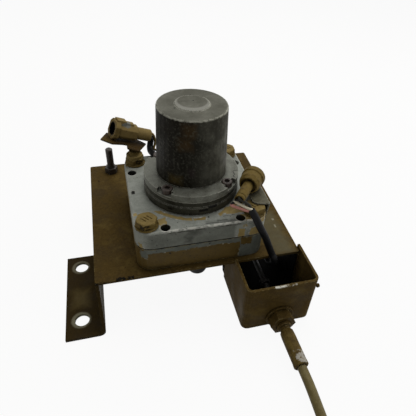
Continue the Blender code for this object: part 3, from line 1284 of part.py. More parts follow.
def make_leads(right_z):
    turn = math.radians(LEFT_TURN)
    tilt = math.radians(LEFT_TILT)
    axis = Vector((-math.cos(turn) * math.cos(tilt), -math.sin(turn) * math.cos(tilt), -math.sin(tilt)))
    up = Vector((-math.sin(tilt) * math.cos(turn), -math.sin(tilt) * math.sin(turn), math.cos(tilt)))
    end = Vector((LEFT_X, LEFT_Y, LEFT_Z)) + axis * (LEFT_L + LEFT_BOOT_L + 5 * GAP)
    lead_r = 0.5 * LEAD_D
    low = COVER_TOP + lead_r + 2 * GAP
    start = end - up * 0.0028
    ahead = start + axis * 0.003
    entry = math.radians(118)
    inward = Vector((math.cos(entry), math.sin(entry)))
    port = inward * (RING_R + 2 * GAP)
    before = inward * (RING_R + 0.010)
    route = [tuple(start), tuple(ahead), (-0.0268, 0.0690, 0.1110), (-0.0292, 0.0640, 0.1068),
             (-0.0312, 0.0575, low), (before.x, before.y, low), (port.x, port.y, low)]
    cord("motor_lead", route, LEAD_D, black())
    entry = math.radians(104)
    inward = Vector((math.cos(entry), math.sin(entry)))
    port = inward * (RING_R + 2 * GAP)
    before = inward * (RING_R + 0.010)
    low = COVER_TOP + 0.004
    start = end + up * 0.0034
    ahead = start + axis * 0.003
    route = [tuple(start), tuple(ahead), (-0.0226, 0.0706, 0.1165), (-0.0224, 0.0672, 0.1105),
             (-0.0210, 0.0615, 0.1072), (before.x, before.y, low), (port.x, port.y, low)]
    cord("motor_lead_wire", route, WIRE_D, olive())
    heading = math.radians(RIGHT_TURN)
    ahead = Vector((math.cos(heading), math.sin(heading)))
    side = Vector((-ahead.y, ahead.x))
    jacket = Vector(JACKET_START)
    back = Vector(JACKET_BEND) - jacket
    back.normalize()
    left = Vector((back.y, -back.x, 0.0)).normalized()
    up = left.cross(back)
    spread = 0.0018
    looks = {
        "grey_wire": ((0.06, 0.06, 0.06), 0.0004, 0.0022, 210,
                      ((0.0300, -0.0550, 0.1252), (0.0324, -0.0572, 0.1250), (0.0372, -0.0580, 0.1194))),
        "white_wire": ((0.75, 0.72, 0.65), -0.0018, -0.0020, 90,
                       ((0.0298, -0.0560, 0.1186), (0.0264, -0.0578, 0.1202), (0.0280, -0.0604, 0.1206),
                        (0.0345, -0.0612, 0.1178))),
        "pink_wire": ((0.62, 0.33, 0.30), 0.0018, -0.0018, -30,
                      ((0.0266, -0.0530, 0.1172), (0.0231, -0.0562, 0.1158), (0.0254, -0.0602, 0.1158),
                       (0.0320, -0.0616, 0.1136))),
    }
    for name, (colour, aside, lift, turn, middle) in looks.items():
        first = Vector((RIGHT_X, RIGHT_Y)) - ahead * 5 * GAP + side * aside
        straight = first - ahead * 0.002
        angle = math.radians(turn)
        outward = left * math.cos(angle) + up * math.sin(angle)
        last = jacket - back * 4 * GAP + outward * spread
        before = last - back * 0.0025
        route = [(first.x, first.y, right_z + lift), (straight.x, straight.y, right_z + lift)]
        route += list(middle) + [tuple(before), tuple(last)]
        cord(name, route, WIRE_D, paint(name + "_cover", colour, 0.5))


BOLT_SIGNS = ((-1, -1), (1, -1), (-1, 1), (1, 1))
BOLT_TURNS = (8.0, 22.0, 15.0, 30.0)
SPARE_HOLES = ((-SPARE_FRONT_X, -SPARE_FRONT_Y), (SPARE_FRONT_X, -SPARE_FRONT_Y),
               (-SPARE_SIDE_X, SPARE_SIDE_Y), (SPARE_SIDE_X, SPARE_SIDE_Y))
SCREW_ANGLES = tuple(math.radians(45 + 90 * i) for i in range(4))

clear_scene()
PARTS = new_collection("Engine governor actuator")
CUTTERS = new_collection("Cutters")
make_mounting_plate()
make_foot_angle()
make_cable_box()
make_gearbox_body()
make_gearbox_cover()
make_housing_bolts()
make_adaptor_ring()
make_motor_flange()
make_flange_screws()
make_motor_can()
make_motor_inside()
make_gear_train()
make_shafts()
make_lever()
make_cable_rod()
make_bulkhead_fitting()
make_conduit()
make_sensor()
make_rear_stud()
make_left_connector()
make_left_bracket()
right_height = make_right_connector()
make_right_bracket()
make_leads(right_height)
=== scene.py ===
import math

import bmesh
import bpy
from mathutils import Matrix, Vector


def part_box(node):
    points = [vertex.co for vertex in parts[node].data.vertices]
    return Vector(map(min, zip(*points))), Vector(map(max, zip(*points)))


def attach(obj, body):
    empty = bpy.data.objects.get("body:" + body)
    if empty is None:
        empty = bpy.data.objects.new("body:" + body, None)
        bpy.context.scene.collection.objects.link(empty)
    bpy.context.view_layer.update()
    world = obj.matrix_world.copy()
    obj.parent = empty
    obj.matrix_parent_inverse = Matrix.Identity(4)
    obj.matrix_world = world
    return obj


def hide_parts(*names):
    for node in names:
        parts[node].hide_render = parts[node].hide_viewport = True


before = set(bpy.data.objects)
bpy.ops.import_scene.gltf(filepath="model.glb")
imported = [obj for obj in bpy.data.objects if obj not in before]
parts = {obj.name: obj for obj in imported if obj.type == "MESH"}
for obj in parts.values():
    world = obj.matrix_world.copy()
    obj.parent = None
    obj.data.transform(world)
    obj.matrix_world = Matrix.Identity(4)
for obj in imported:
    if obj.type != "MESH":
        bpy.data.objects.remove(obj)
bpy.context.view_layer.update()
print("frame loaded,", len(parts), "CAD pieces")

motorX = 0.1185
motorY = 0.030
motorAxis = (1000 * motorX, 1000 * motorY, 0.0)    # in millimetres, for the patterns
seatGap = 0.0003    # what fixed pieces keep between them


# sRGB hex to linear colour
def linear(hexText):
    channels = [int(hexText[i:i + 2], 16) / 255 for i in (1, 3, 5)]
    return tuple(c / 12.92 if c <= 0.04045 else ((c + 0.055) / 1.055) ** 2.4 for c in channels) + (1.0,)


def addNode(tree, kind, settings=None, links=None):
    node = tree.nodes.new("ShaderNode" + kind)
    for key, value in (settings or {}).items():
        if isinstance(key, str) and hasattr(node, key):
            setattr(node, key, value)
        else:
            node.inputs[key].default_value = value
    for key, source in (links or {}).items():
        tree.links.new(source, node.inputs[key])
    return node


def blankMaterial(name):
    material = bpy.data.materials.new(name)
    material.use_nodes = True
    tree = material.node_tree
    return material, tree, tree.nodes["Principled BSDF"]


# Patterns are drawn in millimetres of the part's own frame, so that neighbours line up
def inMillimetres(tree):
    place = addNode(tree, "TexCoord").outputs["Object"]
    return addNode(tree, "VectorMath", {"operation": "SCALE", "Scale": 1000.0}, {0: place}).outputs[0]


# Soft-edged clouds: 0 below one level of the noise and 1 above another
def clouds(tree, place, size, low, high, detail=3.0, stretch=None):
    source = place
    if stretch:
        source = addNode(tree, "VectorMath", {"operation": "MULTIPLY", 1: stretch}, {0: place}).outputs[0]
    field = addNode(tree, "TexNoise", {"Scale": 1.0 / size, "Detail": detail, "Roughness": 0.6},
                    {"Vector": source})
    level = addNode(tree, "MapRange", {1: low, 2: high}, {0: field.outputs[0]})
    return level.outputs[0]


# Edges rubbed bare: where the surface turns sharply within about a millimetre, in patches
def wornEdges(tree, place, radius, low, high, ragged, full=0.80):
    rounded = addNode(tree, "Bevel", {"samples": 6, "Radius": radius})
    flat = addNode(tree, "NewGeometry")
    along = addNode(tree, "VectorMath", {"operation": "DOT_PRODUCT"},
                    {0: rounded.outputs[0], 1: flat.outputs["Normal"]})
    turn = addNode(tree, "MapRange", {1: 0.995, 2: full}, {0: along.outputs["Value"]})
    patchy = clouds(tree, place, ragged, low, high, 4.0)
    worn = addNode(tree, "Math", {"operation": "MULTIPLY"}, {0: turn.outputs[0], 1: patchy})
    return worn.outputs[0], rounded.outputs[0]


# Dirt in corners and beside fittings, together with painted shade: darker where the surface is closed in, in
# patches
def cornerDirtAndShade(tree, place, reach, size, most=1.0):
    hidden = addNode(tree, "AmbientOcclusion", {"samples": 6, "Distance": reach})
    closed = addNode(tree, "MapRange", {1: 0.85, 2: 0.25, 4: most}, {0: hidden.outputs["AO"]})
    broken = clouds(tree, place, size, 0.30, 0.62)
    dirt = addNode(tree, "Math", {"operation": "MULTIPLY"}, {0: closed.outputs[0], 1: broken})
    return dirt.outputs[0]


# Round specks, each in its own cell, with most cells left empty
def specks(tree, place, spacing, size, share):
    cells = addNode(tree, "TexVoronoi", {"Scale": 1.0 / spacing, "Randomness": 1.0}, {"Vector": place})
    pick = addNode(tree, "SeparateColor", {}, {0: cells.outputs["Color"]})
    kept = addNode(tree, "Math", {"operation": "LESS_THAN", 1: share}, {0: pick.outputs[0]})
    reach = addNode(tree, "MapRange", {1: 0.0, 2: 1.0, 3: 0.35 * size / spacing, 4: size / spacing},
                    {0: pick.outputs[1]})
    inside = addNode(tree, "Math", {"operation": "LESS_THAN"},
                     {0: cells.outputs["Distance"], 1: reach.outputs[0]})
    both = addNode(tree, "Math", {"operation": "MULTIPLY"}, {0: inside.outputs[0], 1: kept.outputs[0]})
    return both.outputs[0]


# Lays colours over each other, each through its own mask, and thinly where a share of it is given
def layered(tree, ground, layers):
    colour = ground
    for mask, over, *thin in layers:
        for share in thin:
            mask = addNode(tree, "Math", {"operation": "MULTIPLY", 1: share}, {0: mask}).outputs[0]
        mix = addNode(tree, "Mix", {"data_type": "RGBA"}, {0: mask})
        for socket, value in ((mix.inputs[6], colour), (mix.inputs[7], over)):
            if isinstance(value, str):
                socket.default_value = linear(value)
            else:
                tree.links.new(value, socket)
        colour = mix.outputs[2]
    return colour


# Moves the pattern about by up to so many millimetres, so that an edge drawn on it turns ragged
def shifted(tree, place, amount, size):
    wander = addNode(tree, "TexNoise", {"Scale": 1.0 / size, "Detail": 4.0, "Roughness": 0.65},
                     {"Vector": place})
    centred = addNode(tree, "VectorMath", {"operation": "SUBTRACT", 1: (0.5, 0.5, 0.5)},
                      {0: wander.outputs["Color"]})
    spread = addNode(tree, "VectorMath", {"operation": "SCALE", "Scale": 2.0 * amount},
                     {0: centred.outputs[0]})
    return addNode(tree, "VectorMath", {"operation": "ADD"}, {0: place, 1: spread.outputs[0]}).outputs[0]


# Millimetres inside the nearest of several box-shaped patches, negative outside them
def patchDepth(tree, place, patches):
    depth = None
    for centre, half in patches:
        away = addNode(tree, "VectorMath", {"operation": "SUBTRACT", 1: centre}, {0: place})
        size = addNode(tree, "VectorMath", {"operation": "ABSOLUTE"}, {0: away.outputs[0]})
        left = addNode(tree, "VectorMath", {"operation": "SUBTRACT", 0: half}, {1: size.outputs[0]})
        split = addNode(tree, "SeparateXYZ", {}, {0: left.outputs[0]})
        flat = addNode(tree, "Math", {"operation": "MINIMUM"}, {0: split.outputs[0], 1: split.outputs[1]})
        near = addNode(tree, "Math", {"operation": "MINIMUM"}, {0: flat.outputs[0], 1: split.outputs[2]})
        if depth is None:
            depth = near.outputs[0]
        else:
            depth = addNode(tree, "Math", {"operation": "MAXIMUM"}, {0: depth, 1: near.outputs[0]}).outputs[0]
    return depth


# Millimetres inside a round band on the motor's axis, all round it or up to a given depth behind it
def bandDepth(tree, place, radius, half, rear=100.0):
    centred = addNode(tree, "VectorMath", {"operation": "SUBTRACT", 1: motorAxis}, {0: place})
    flat = addNode(tree, "VectorMath", {"operation": "MULTIPLY", 1: (1.0, 1.0, 0.0)}, {0: centred.outputs[0]})
    reach = addNode(tree, "VectorMath", {"operation": "LENGTH"}, {0: flat.outputs[0]})
    off = addNode(tree, "Math", {"operation": "SUBTRACT", 1: radius}, {0: reach.outputs["Value"]})
    size = addNode(tree, "Math", {"operation": "ABSOLUTE"}, {0: off.outputs[0]})
    inside = addNode(tree, "Math", {"operation": "SUBTRACT", 0: half}, {1: size.outputs[0]})
    split = addNode(tree, "SeparateXYZ", {}, {0: centred.outputs[0]})
    front = addNode(tree, "Math", {"operation": "SUBTRACT", 0: rear}, {1: split.outputs[1]})
    return addNode(tree, "Math", {"operation": "MINIMUM"},
                   {0: inside.outputs[0], 1: front.outputs[0]}).outputs[0]


# Millimetres inside a round hole of a given depth, from its mouth and the direction into the piece
def boreDepth(tree, place, mouth, inward, radius, deep):
    away = addNode(tree, "VectorMath", {"operation": "SUBTRACT", 1: mouth}, {0: place}).outputs[0]
    along = addNode(tree, "VectorMath", {"operation": "DOT_PRODUCT", 1: inward}, {0: away}).outputs["Value"]
    onAxis = addNode(tree, "VectorMath", {"operation": "SCALE", 0: inward}, {"Scale": along})
    off = addNode(tree, "VectorMath", {"operation": "DISTANCE"}, {0: away, 1: onAxis.outputs[0]})
    inside = addNode(tree, "Math", {"operation": "SUBTRACT", 0: radius}, {1: off.outputs["Value"]})
    left = addNode(tree, "Math", {"operation": "SUBTRACT", 0: deep}, {1: along})
    inside = addNode(tree, "Math", {"operation": "MINIMUM"}, {0: inside.outputs[0], 1: along})
    return addNode(tree, "Math", {"operation": "MINIMUM"},
                   {0: inside.outputs[0], 1: left.outputs[0]}).outputs[0]


# Chips, stains and overspray, and painted shade and light, laid over a paint, each where it is in millimetres
# of the part's own frame
def marked(tree, place, colour, marks):
    for mark in marks:
        ragged = shifted(tree, place, mark.get("wander", 0.8), mark.get("wave", 3.0))
        if "boxes" in mark:
            depth = patchDepth(tree, ragged, mark["boxes"])
        else:
            depth = boreDepth(tree, ragged, *mark["bore"])
        soft = mark.get("soft", 0.25)
        mask = addNode(tree, "MapRange", {1: -soft, 2: soft, 4: mark.get("most", 1.0)}, {0: depth}).outputs[0]
        if "broken" in mark:
            kept = clouds(tree, place, mark["broken"], 0.42, 0.52)
            mask = addNode(tree, "Math", {"operation": "MULTIPLY"}, {0: mask, 1: kept}).outputs[0]
        colour = layered(tree, colour, [(mask, mark["colour"])])
    return colour


# The orange peel of sprayed paint, with pits and chips sunk into it
def sprayBump(tree, place, normal, peel, strength, extra=()):
    fine = addNode(tree, "TexNoise", {"Scale": 1.0 / peel, "Detail": 2.0}, {"Vector": place})
    broad = addNode(tree, "TexNoise", {"Scale": 1.0 / (9.0 * peel), "Detail": 2.0}, {"Vector": place})
    height = addNode(tree, "Math", {"operation": "MULTIPLY_ADD", 1: 1.6},
                     {0: broad.outputs[0], 2: fine.outputs[0]}).outputs[0]
    for mask, drop in extra:
        height = addNode(tree, "Math", {"operation": "MULTIPLY_ADD", 1: drop},
                         {0: mask, 2: height}).outputs[0]
    bump = addNode(tree, "Bump", {"Strength": strength, "Distance": 0.00018}, {"Height": height})
    if normal is not None:
        tree.links.new(normal, bump.inputs["Normal"])
    return bump.outputs[0]


# Colour, bump and a roughness that goes with one mask, then the values that are the same all over
def dress(tree, shader, colour, bump, mask, roughness, values):
    gloss = addNode(tree, "MapRange", {3: roughness[0], 4: roughness[1]}, {0: mask})
    for name, source in (("Base Color", colour), ("Roughness", gloss.outputs[0]), ("Normal", bump)):
        tree.links.new(source, shader.inputs[name])
    for name, value in values.items():
        shader.inputs[name].default_value = value


# The camera stands where the photograph was taken from
photoView = {
    "place": (0.05104, -0.27906, 0.33985),
    "yaw": 0.308,
    "pitch": 0.700,
    "roll": 0.076,
    "lens": 34.58,
    "sensor": 36.0,
    "shiftX": -0.0269,
    "nearest": 0.01,
}


def makeCamera(look):
    data = bpy.data.cameras.new("photoCamera")
    data.lens = look["lens"]
    data.sensor_width = look["sensor"]
    data.shift_x = look["shiftX"]
    data.clip_start = look["nearest"]
    camera = bpy.data.objects.new("photoCamera", data)
    bpy.context.scene.collection.objects.link(camera)
    yaw, pitch, roll = look["yaw"], look["pitch"], look["roll"]
    ahead = Vector((math.sin(yaw) * math.cos(pitch), math.cos(yaw) * math.cos(pitch), -math.sin(pitch)))
    level = ahead.cross(Vector((0, 0, 1))).normalized()
    above = level.cross(ahead)
    right = level * math.cos(roll) + above * math.sin(roll)
    up = above * math.cos(roll) - level * math.sin(roll)
    turned = Matrix((right, up, -ahead)).transposed().to_4x4()
    camera.matrix_world = Matrix.Translation(look["place"]) @ turned
    bpy.context.scene.camera = camera


makeCamera(photoView)
print("camera placed")


# A smooth curve through a route's own points, at an even spacing
def smoothRoute(points, spacing, fineSteps=24):
    knots = [Vector(p) for p in points]
    ends = [2 * knots[0] - knots[1]] + knots + [2 * knots[-1] - knots[-2]]
    fine = []
    for a, b, c, d in zip(ends, ends[1:], ends[2:], ends[3:]):
        for step in range(fineSteps):
            t = step / fineSteps
            fine.append(0.5 * ((2 * b) + (c - a) * t + (2 * a - 5 * b + 4 * c - d) * t * t
                               + (3 * b - a - 3 * c + d) * t * t * t))
    fine.append(knots[-1])
    return evenly(fine, spacing)


def evenly(fine, spacing):
    lengths = [0.0]
    for before, after in zip(fine, fine[1:]):
        lengths.append(lengths[-1] + (after - before).length)
    count = max(3, round(lengths[-1] / spacing))
    even = []
    index = 0
    for i in range(count + 1):
        target = lengths[-1] * i / count
        while index < len(lengths) - 2 and lengths[index + 1] < target:
            index += 1
        span = lengths[index + 1] - lengths[index]
        share = (target - lengths[index]) / span if span else 0.0
        even.append(fine[index].lerp(fine[index + 1], min(1.0, share)))
    return even


# One ring of points for a tube or a turned piece
def roundOf(mesh, centre, side, across, radius, sides):
    ring = []
    for k in range(sides):
        turn = 2 * math.pi * k / sides
        ring.append(mesh.verts.new(centre + (side * math.cos(turn) + across * math.sin(turn)) * radius))
    return ring


# A round tube on a route, its frame carried along so that it doesn't twist
def tubeAlong(name, points, diameter, sides):
    mesh = bmesh.new()
    ahead = (points[1] - points[0]).normalized()
    side = ahead.orthogonal().normalized()
    rings = []
    for i, point in enumerate(points):
        before = points[max(0, i - 1)]
        after = points[min(len(points) - 1, i + 1)]
        ahead = (after - before).normalized()
        side = (side - ahead * side.dot(ahead)).normalized()
        across = ahead.cross(side)
        rings.append(roundOf(mesh, point, side, across, 0.5 * diameter, sides))
    for lower, upper in zip(rings, rings[1:]):
        for k in range(sides):
            mesh.faces.new((lower[k], lower[(k + 1) % sides], upper[(k + 1) % sides], upper[k]))
    mesh.faces.new(list(reversed(rings[0])))
    mesh.faces.new(rings[-1])
    return meshObject(name, mesh)


# A turned piece: its profile, as radius and distance along, spun round an axis
def turnedPiece(name, profile, start, direction, sides=48):
    mesh = bmesh.new()
    ahead = Vector(direction).normalized()
    side = ahead.orthogonal().normalized()
    across = ahead.cross(side)
    rings = []
    for radius, along in profile:
        centre = Vector(start) + ahead * along
        if radius:
            rings.append(roundOf(mesh, centre, side, across, radius, sides))
        else:
            rings.append([mesh.verts.new(centre)])
    for lower, upper in zip(rings, rings[1:]):
        for k in range(sides):
            corners = []
            for ring, index in ((lower, k), (lower, k + 1), (upper, k + 1), (upper, k)):
                corner = ring[index % len(ring)]
                if corner not in corners:
                    corners.append(corner)
            mesh.faces.new(corners)
    return meshObject(name, mesh)


# A flat bar or sheet between two corners, its edges rounded
def barPiece(name, low, high, edge):
    mesh = bmesh.new()
    bmesh.ops.create_cube(mesh, size=1.0)
    size = Vector(high) - Vector(low)
    bmesh.ops.scale(mesh, vec=size, verts=mesh.verts)
    bmesh.ops.translate(mesh, vec=Vector(low) + 0.5 * size, verts=mesh.verts)
    bmesh.ops.bevel(mesh, geom=list(mesh.edges), offset=edge, segments=2, profile=0.5, affect="EDGES")
    return meshObject(name, mesh)


def meshObject(name, mesh, sharp=40.0):
    bmesh.ops.recalc_face_normals(mesh, faces=mesh.faces)
    data = bpy.data.meshes.new(name)
    mesh.to_mesh(data)
    mesh.free()
    data.shade_smooth()
    data.set_sharp_from_angle(angle=math.radians(sharp))
    made = bpy.data.objects.new(name, data)
    bpy.context.scene.collection.objects.link(made)
    return made


# Gives a piece its finish and its body
def finished(piece, material, body="base"):
    piece.data.materials.clear()
    piece.data.materials.append(material)
    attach(piece, body)


# Old oil and soot, as dark as it lies on each kind of surface. The corner colours are dirt and painted shade
# together, and the wire colour is the plain black of the wires' upper parts
soot = {
    "castingCornerDirtAndShade": "#15110a",
    "castingScuff": "#17140f",
    "castingPinhole": "#211f18",
    "castingPit": "#12100b",
    "canCornerDirtAndShade": "#14110b",
    "canSpeck": "#0f0d09",
    "turnedCornerDirtAndShade": "#100e09",
    "turnedSpeck": "#14120d",
    "steelCornerDirtAndShade": "#0d0a07",
    "wireBlackTop": "#0d0b08",
}
oliveEnamel = {
    "dirty": "#4a3a1b",
    "shade": "#2f230e",
    "fresh": "#6d5c31",
    # the grime colour goes where the surface is closed in: dirt and painted shade
    "cornerGrimeAndShade": "#120d05",
    "worn": "#94875f",
    "speck": "#0f0b06",
}


# Khaki enamel, sprayed on folded steel: matt, blotched by old oil and dust, with light worn edges
def khakiEnamel(name, cleanliness, blotch=22.0, wear=0.5, roughness=0.62, marks=()):
    material, tree, shader = blankMaterial(name)
    place = inMillimetres(tree)
    worn, rounded = wornEdges(tree, place, 0.0009, 0.62 - 0.25 * wear, 0.74 - 0.25 * wear, 3.5)
    oily = clouds(tree, place, blotch, 0.42, 0.64)
    fresh = clouds(tree, place, 0.7 * blotch, 0.66 - 0.45 * cleanliness, 0.92 - 0.45 * cleanliness)
    grain = clouds(tree, place, 1.3, 0.45, 0.75, 2.0)
    # darker where closed in: dirt and painted shade
    dirty = cornerDirtAndShade(tree, place, 0.007, 4.0, 0.9)
    dots = specks(tree, place, 9.0, 0.9, 0.16)
    speckle = clouds(tree, shifted(tree, place, 1.0, 2.0), 2.6, 0.52, 0.66, 3.0)
    colour = layered(tree, oliveEnamel["dirty"], [
        (oily, oliveEnamel["shade"], 0.55),
        (fresh, oliveEnamel["fresh"], 0.35 + 0.5 * cleanliness),
        (grain, oliveEnamel["fresh"], 0.28),
        (speckle, oliveEnamel["shade"], 0.45),
        (dirty, oliveEnamel["cornerGrimeAndShade"]),
        (dots, oliveEnamel["speck"]),
        (worn, oliveEnamel["worn"]),
    ])
    colour = marked(tree, place, colour, marks)
    bump = sprayBump(tree, place, rounded, 0.9, 0.5, ((dots, -1.5), (worn, -0.8)))
    dress(tree, shader, colour, bump, oily, (roughness + 0.10, roughness - 0.10),
          {"Specular IOR Level": 0.04})
    return material


# Grey aluminium paint on the cast gearbox cover and khaki on its body: where one has flaked, the other
# or a bright torn edge shows, with black scuffs from handling and pinholes from the casting
def castingPaint(look):
    material, tree, shader = blankMaterial(look["name"])
    place = inMillimetres(tree)
    ragged = shifted(tree, place, 3.2, 9.0)
    tight = shifted(tree, ragged, 0.7, 1.4)
    worn, rounded = wornEdges(tree, place, 0.0016, 0.40, 0.54, 5.0, 0.90)
    depth = patchDepth(tree, tight, look["patches"])
    if "band" in look:
        band = bandDepth(tree, tight, *look["band"])
        depth = addNode(tree, "Math", {"operation": "MAXIMUM"}, {0: depth, 1: band}).outputs[0]
    kept = patchDepth(tree, tight, look["spared"])
    outside = addNode(tree, "Math", {"operation": "MULTIPLY", 1: -1.0}, {0: kept})
    depth = addNode(tree, "Math", {"operation": "MINIMUM"}, {0: depth, 1: outside.outputs[0]}).outputs[0]
    patch = addNode(tree, "MapRange", {1: -0.12, 2: 0.12}, {0: depth}).outputs[0]
    rise = addNode(tree, "MapRange", {1: -1.3, 2: -0.5}, {0: depth})
    fall = addNode(tree, "MapRange", {1: 0.1, 2: -0.1}, {0: depth})
    rim = addNode(tree, "Math", {"operation": "MULTIPLY"}, {0: rise.outputs[0], 1: fall.outputs[0]})
    flakes = clouds(tree, place, 4.0, 0.55, 0.68)
    torn = addNode(tree, "Math", {"operation": "MULTIPLY"}, {0: rim.outputs[0], 1: flakes}).outputs[0]
    mottle = clouds(tree, place, 7.0, 0.35, 0.70, 5.0)
    stain = clouds(tree, place, 24.0, 0.50, 0.72)
    grain = clouds(tree, place, 1.1, 0.40, 0.72, 2.0)
    pinholes = specks(tree, place, 3.4, 0.55, 0.20)
    pits = specks(tree, place, 9.5, 1.1, 0.16)
    # darker where closed in: dirt and painted shade
    dirty = cornerDirtAndShade(tree, place, 0.006, 3.5, 0.85)
    scuffed = patchDepth(tree, shifted(tree, place, 6.0, 6.0), look["scuffs"])
    scuff = addNode(tree, "MapRange", {1: -2.0, 2: 2.5, 4: 0.75}, {0: scuffed}).outputs[0]
    ground = layered(tree, look["ground"], [
        (mottle, look["groundLight"], 0.5),
        (stain, look["groundDark"], 0.55),
        (grain, look["groundLight"], 0.30),
    ])
    over = layered(tree, look["patch"], [(mottle, look["patchDark"], 0.5)])
    colour = layered(tree, ground, [
        (patch, over),
        (torn, look["torn"]),
        (dirty, soot["castingCornerDirtAndShade"]),
        (scuff, soot["castingScuff"]),
        (pinholes, soot["castingPinhole"]),
        (pits, soot["castingPit"]),
        (worn, look["worn"]),
    ])
    colour = marked(tree, place, colour, look["marks"])
    bump = sprayBump(tree, place, rounded, 0.8, 0.6,
                     ((pinholes, -2.0), (pits, -2.0), (patch, -1.0), (worn, -0.6)))
    dress(tree, shader, colour, bump, mottle, (0.46, 0.62), {"Specular IOR Level": 0.10})
    return material


coverPaint = {
    "name": "greyAluminiumPaint",
    "ground": "#80837a",
    "groundLight": "#a8aaa1",
    "groundDark": "#474941",
    "patch": "#9b8858",
    "patchDark": "#6b5830",
    "torn": "#c9c7bc",
    "worn": "#b9b7ac",
    "band": (50.1, 1.9, -32.0),
    "patches": [
        ((82.5, -18.5, 101.0), (3.4, 5.6, 3.0)),
        ((60.8, -3.2, 101.0), (1.7, 2.4, 3.0)),
        ((68.0, 82.0, 101.0), (9.0, 9.0, 3.0)),
        ((83.0, 58.0, 101.0), (2.0, 6.0, 2.0)),
        ((160.0, -14.0, 101.0), (18.0, 4.5, 3.0)),
        ((166.0, -26.0, 99.0), (12.0, 4.5, 4.0)),
        ((153.5, -31.0, 85.5), (3.0, 3.0, 7.5)),
        ((168.5, -31.0, 83.0), (7.5, 3.0, 8.5)),
        ((160.0, -31.0, 80.6), (22.0, 3.0, 1.3)),
        ((59.5, -30.0, 83.0), (3.5, 5.0, 4.5)),
        ((179.5, 20.0, 84.0), (3.0, 28.0, 7.0)),
        ((57.5, 50.0, 85.0), (3.0, 22.0, 8.0)),
        ((120.0, 91.0, 84.0), (38.0, 3.0, 6.5)),
    ],
    "spared": [
        ((128.0, -17.0, 101.0), (6.0, 5.0, 4.0)),
        ((109.5, -20.0, 101.0), (0.8, 3.0, 4.0)),
    ],
    "scuffs": [
        ((108.5, -31.0, 96.0), (5.5, 4.0, 3.5)),
        ((104.5, -31.0, 88.0), (3.5, 4.0, 4.0)),
        ((145.0, -29.0, 101.0), (16.0, 1.6, 2.0)),
        ((129.0, -27.0, 101.0), (9.0, 0.4, 2.0)),
        ((105.0, -32.0, 100.0), (17.0, 2.0, 1.0)),
    ],
    "marks": [
        {"colour": "#15130e", "wander": 0.7,
         "boxes": [((62.0, 28.0, 101.0), (1.6, 1.9, 1.5)), ((60.2, -22.5, 100.0), (0.8, 0.8, 2.0))]},
        # the front face painted darker grey: painted shade
        {"colour": "#4c4e46", "wander": 1.5, "soft": 1.2, "most": 0.6,
         "boxes": [((102.0, -34.0, 88.0), (45.0, 4.2, 10.5))]},
        {"colour": "#cbc9be", "wander": 0.9, "broken": 4.0, "most": 0.7,
         "boxes": [((120.0, -30.0, 100.7), (50.0, 0.8, 1.3))]},
        {"colour": "#2a281f", "wander": 0.9, "broken": 7.0, "most": 0.8,
         "boxes": [((112.0, -31.5, 98.7), (40.0, 1.6, 0.6))]},
        {"colour": "#0b0906", "wander": 0.5, "boxes": [((180.0, -20.0, 99.0), (1.8, 6.5, 4.0))]},
        # the holes painted black inside: painted shade
        *({"colour": "#0a0906", "wander": 0.0, "most": 0.9, "bore": (mouth, (0.0, 0.0, -1.0), 5.4, 25.0)}
          for mouth in ((84.4, -25.4, 100.3), (152.8, -25.2, 100.3), (64.2, 61.4, 100.3))),
        {"colour": "#2b2a25", "wander": 0.6, "soft": 0.4,
         "boxes": [((126.0, -27.4, 101.0), (6.0, 0.35, 1.5)), ((135.5, -25.6, 101.0), (5.0, 0.30, 1.5)),
                   ((143.0, -20.5, 101.0), (5.5, 0.25, 1.5))]},
    ],
}
bodyPaint = {
    "name": "khakiOverCastIron",
    "ground": "#4c3c1b",
    "groundLight": "#63522b",
    "groundDark": "#33270e",
    "patch": "#62655d",
    "patchDark": "#43453d",
    "torn": "#a9a697",
    "worn": "#7f775c",
    "patches": [
        ((169.0, -30.0, 68.0), (16.0, 8.0, 14.0)),
        ((181.0, -12.0, 68.0), (5.0, 24.0, 14.0)),
        ((112.0, -31.0, 79.0), (48.0, 3.0, 3.0)),
        ((60.0, -31.0, 74.5), (6.5, 5.0, 4.5)),
        ((179.5, 60.0, 75.0), (3.0, 12.0, 5.0)),
        ((95.0, 91.0, 73.0), (16.0, 3.0, 5.0)),
    ],
    "spared": [
        ((159.0, -31.0, 76.0), (5.0, 3.0, 5.0)),
    ],
    "scuffs": [
        ((75.0, -31.0, 58.0), (14.0, 2.0, 1.0)),
    ],
    "marks": [
        # the right side by the front painted near black: painted shade
        {"colour": "#100f0b", "wander": 2.0, "soft": 5.0, "most": 0.75,
         "boxes": [((180.0, -25.0, 68.0), (9.0, 10.0, 13.0))]},
    ],
}
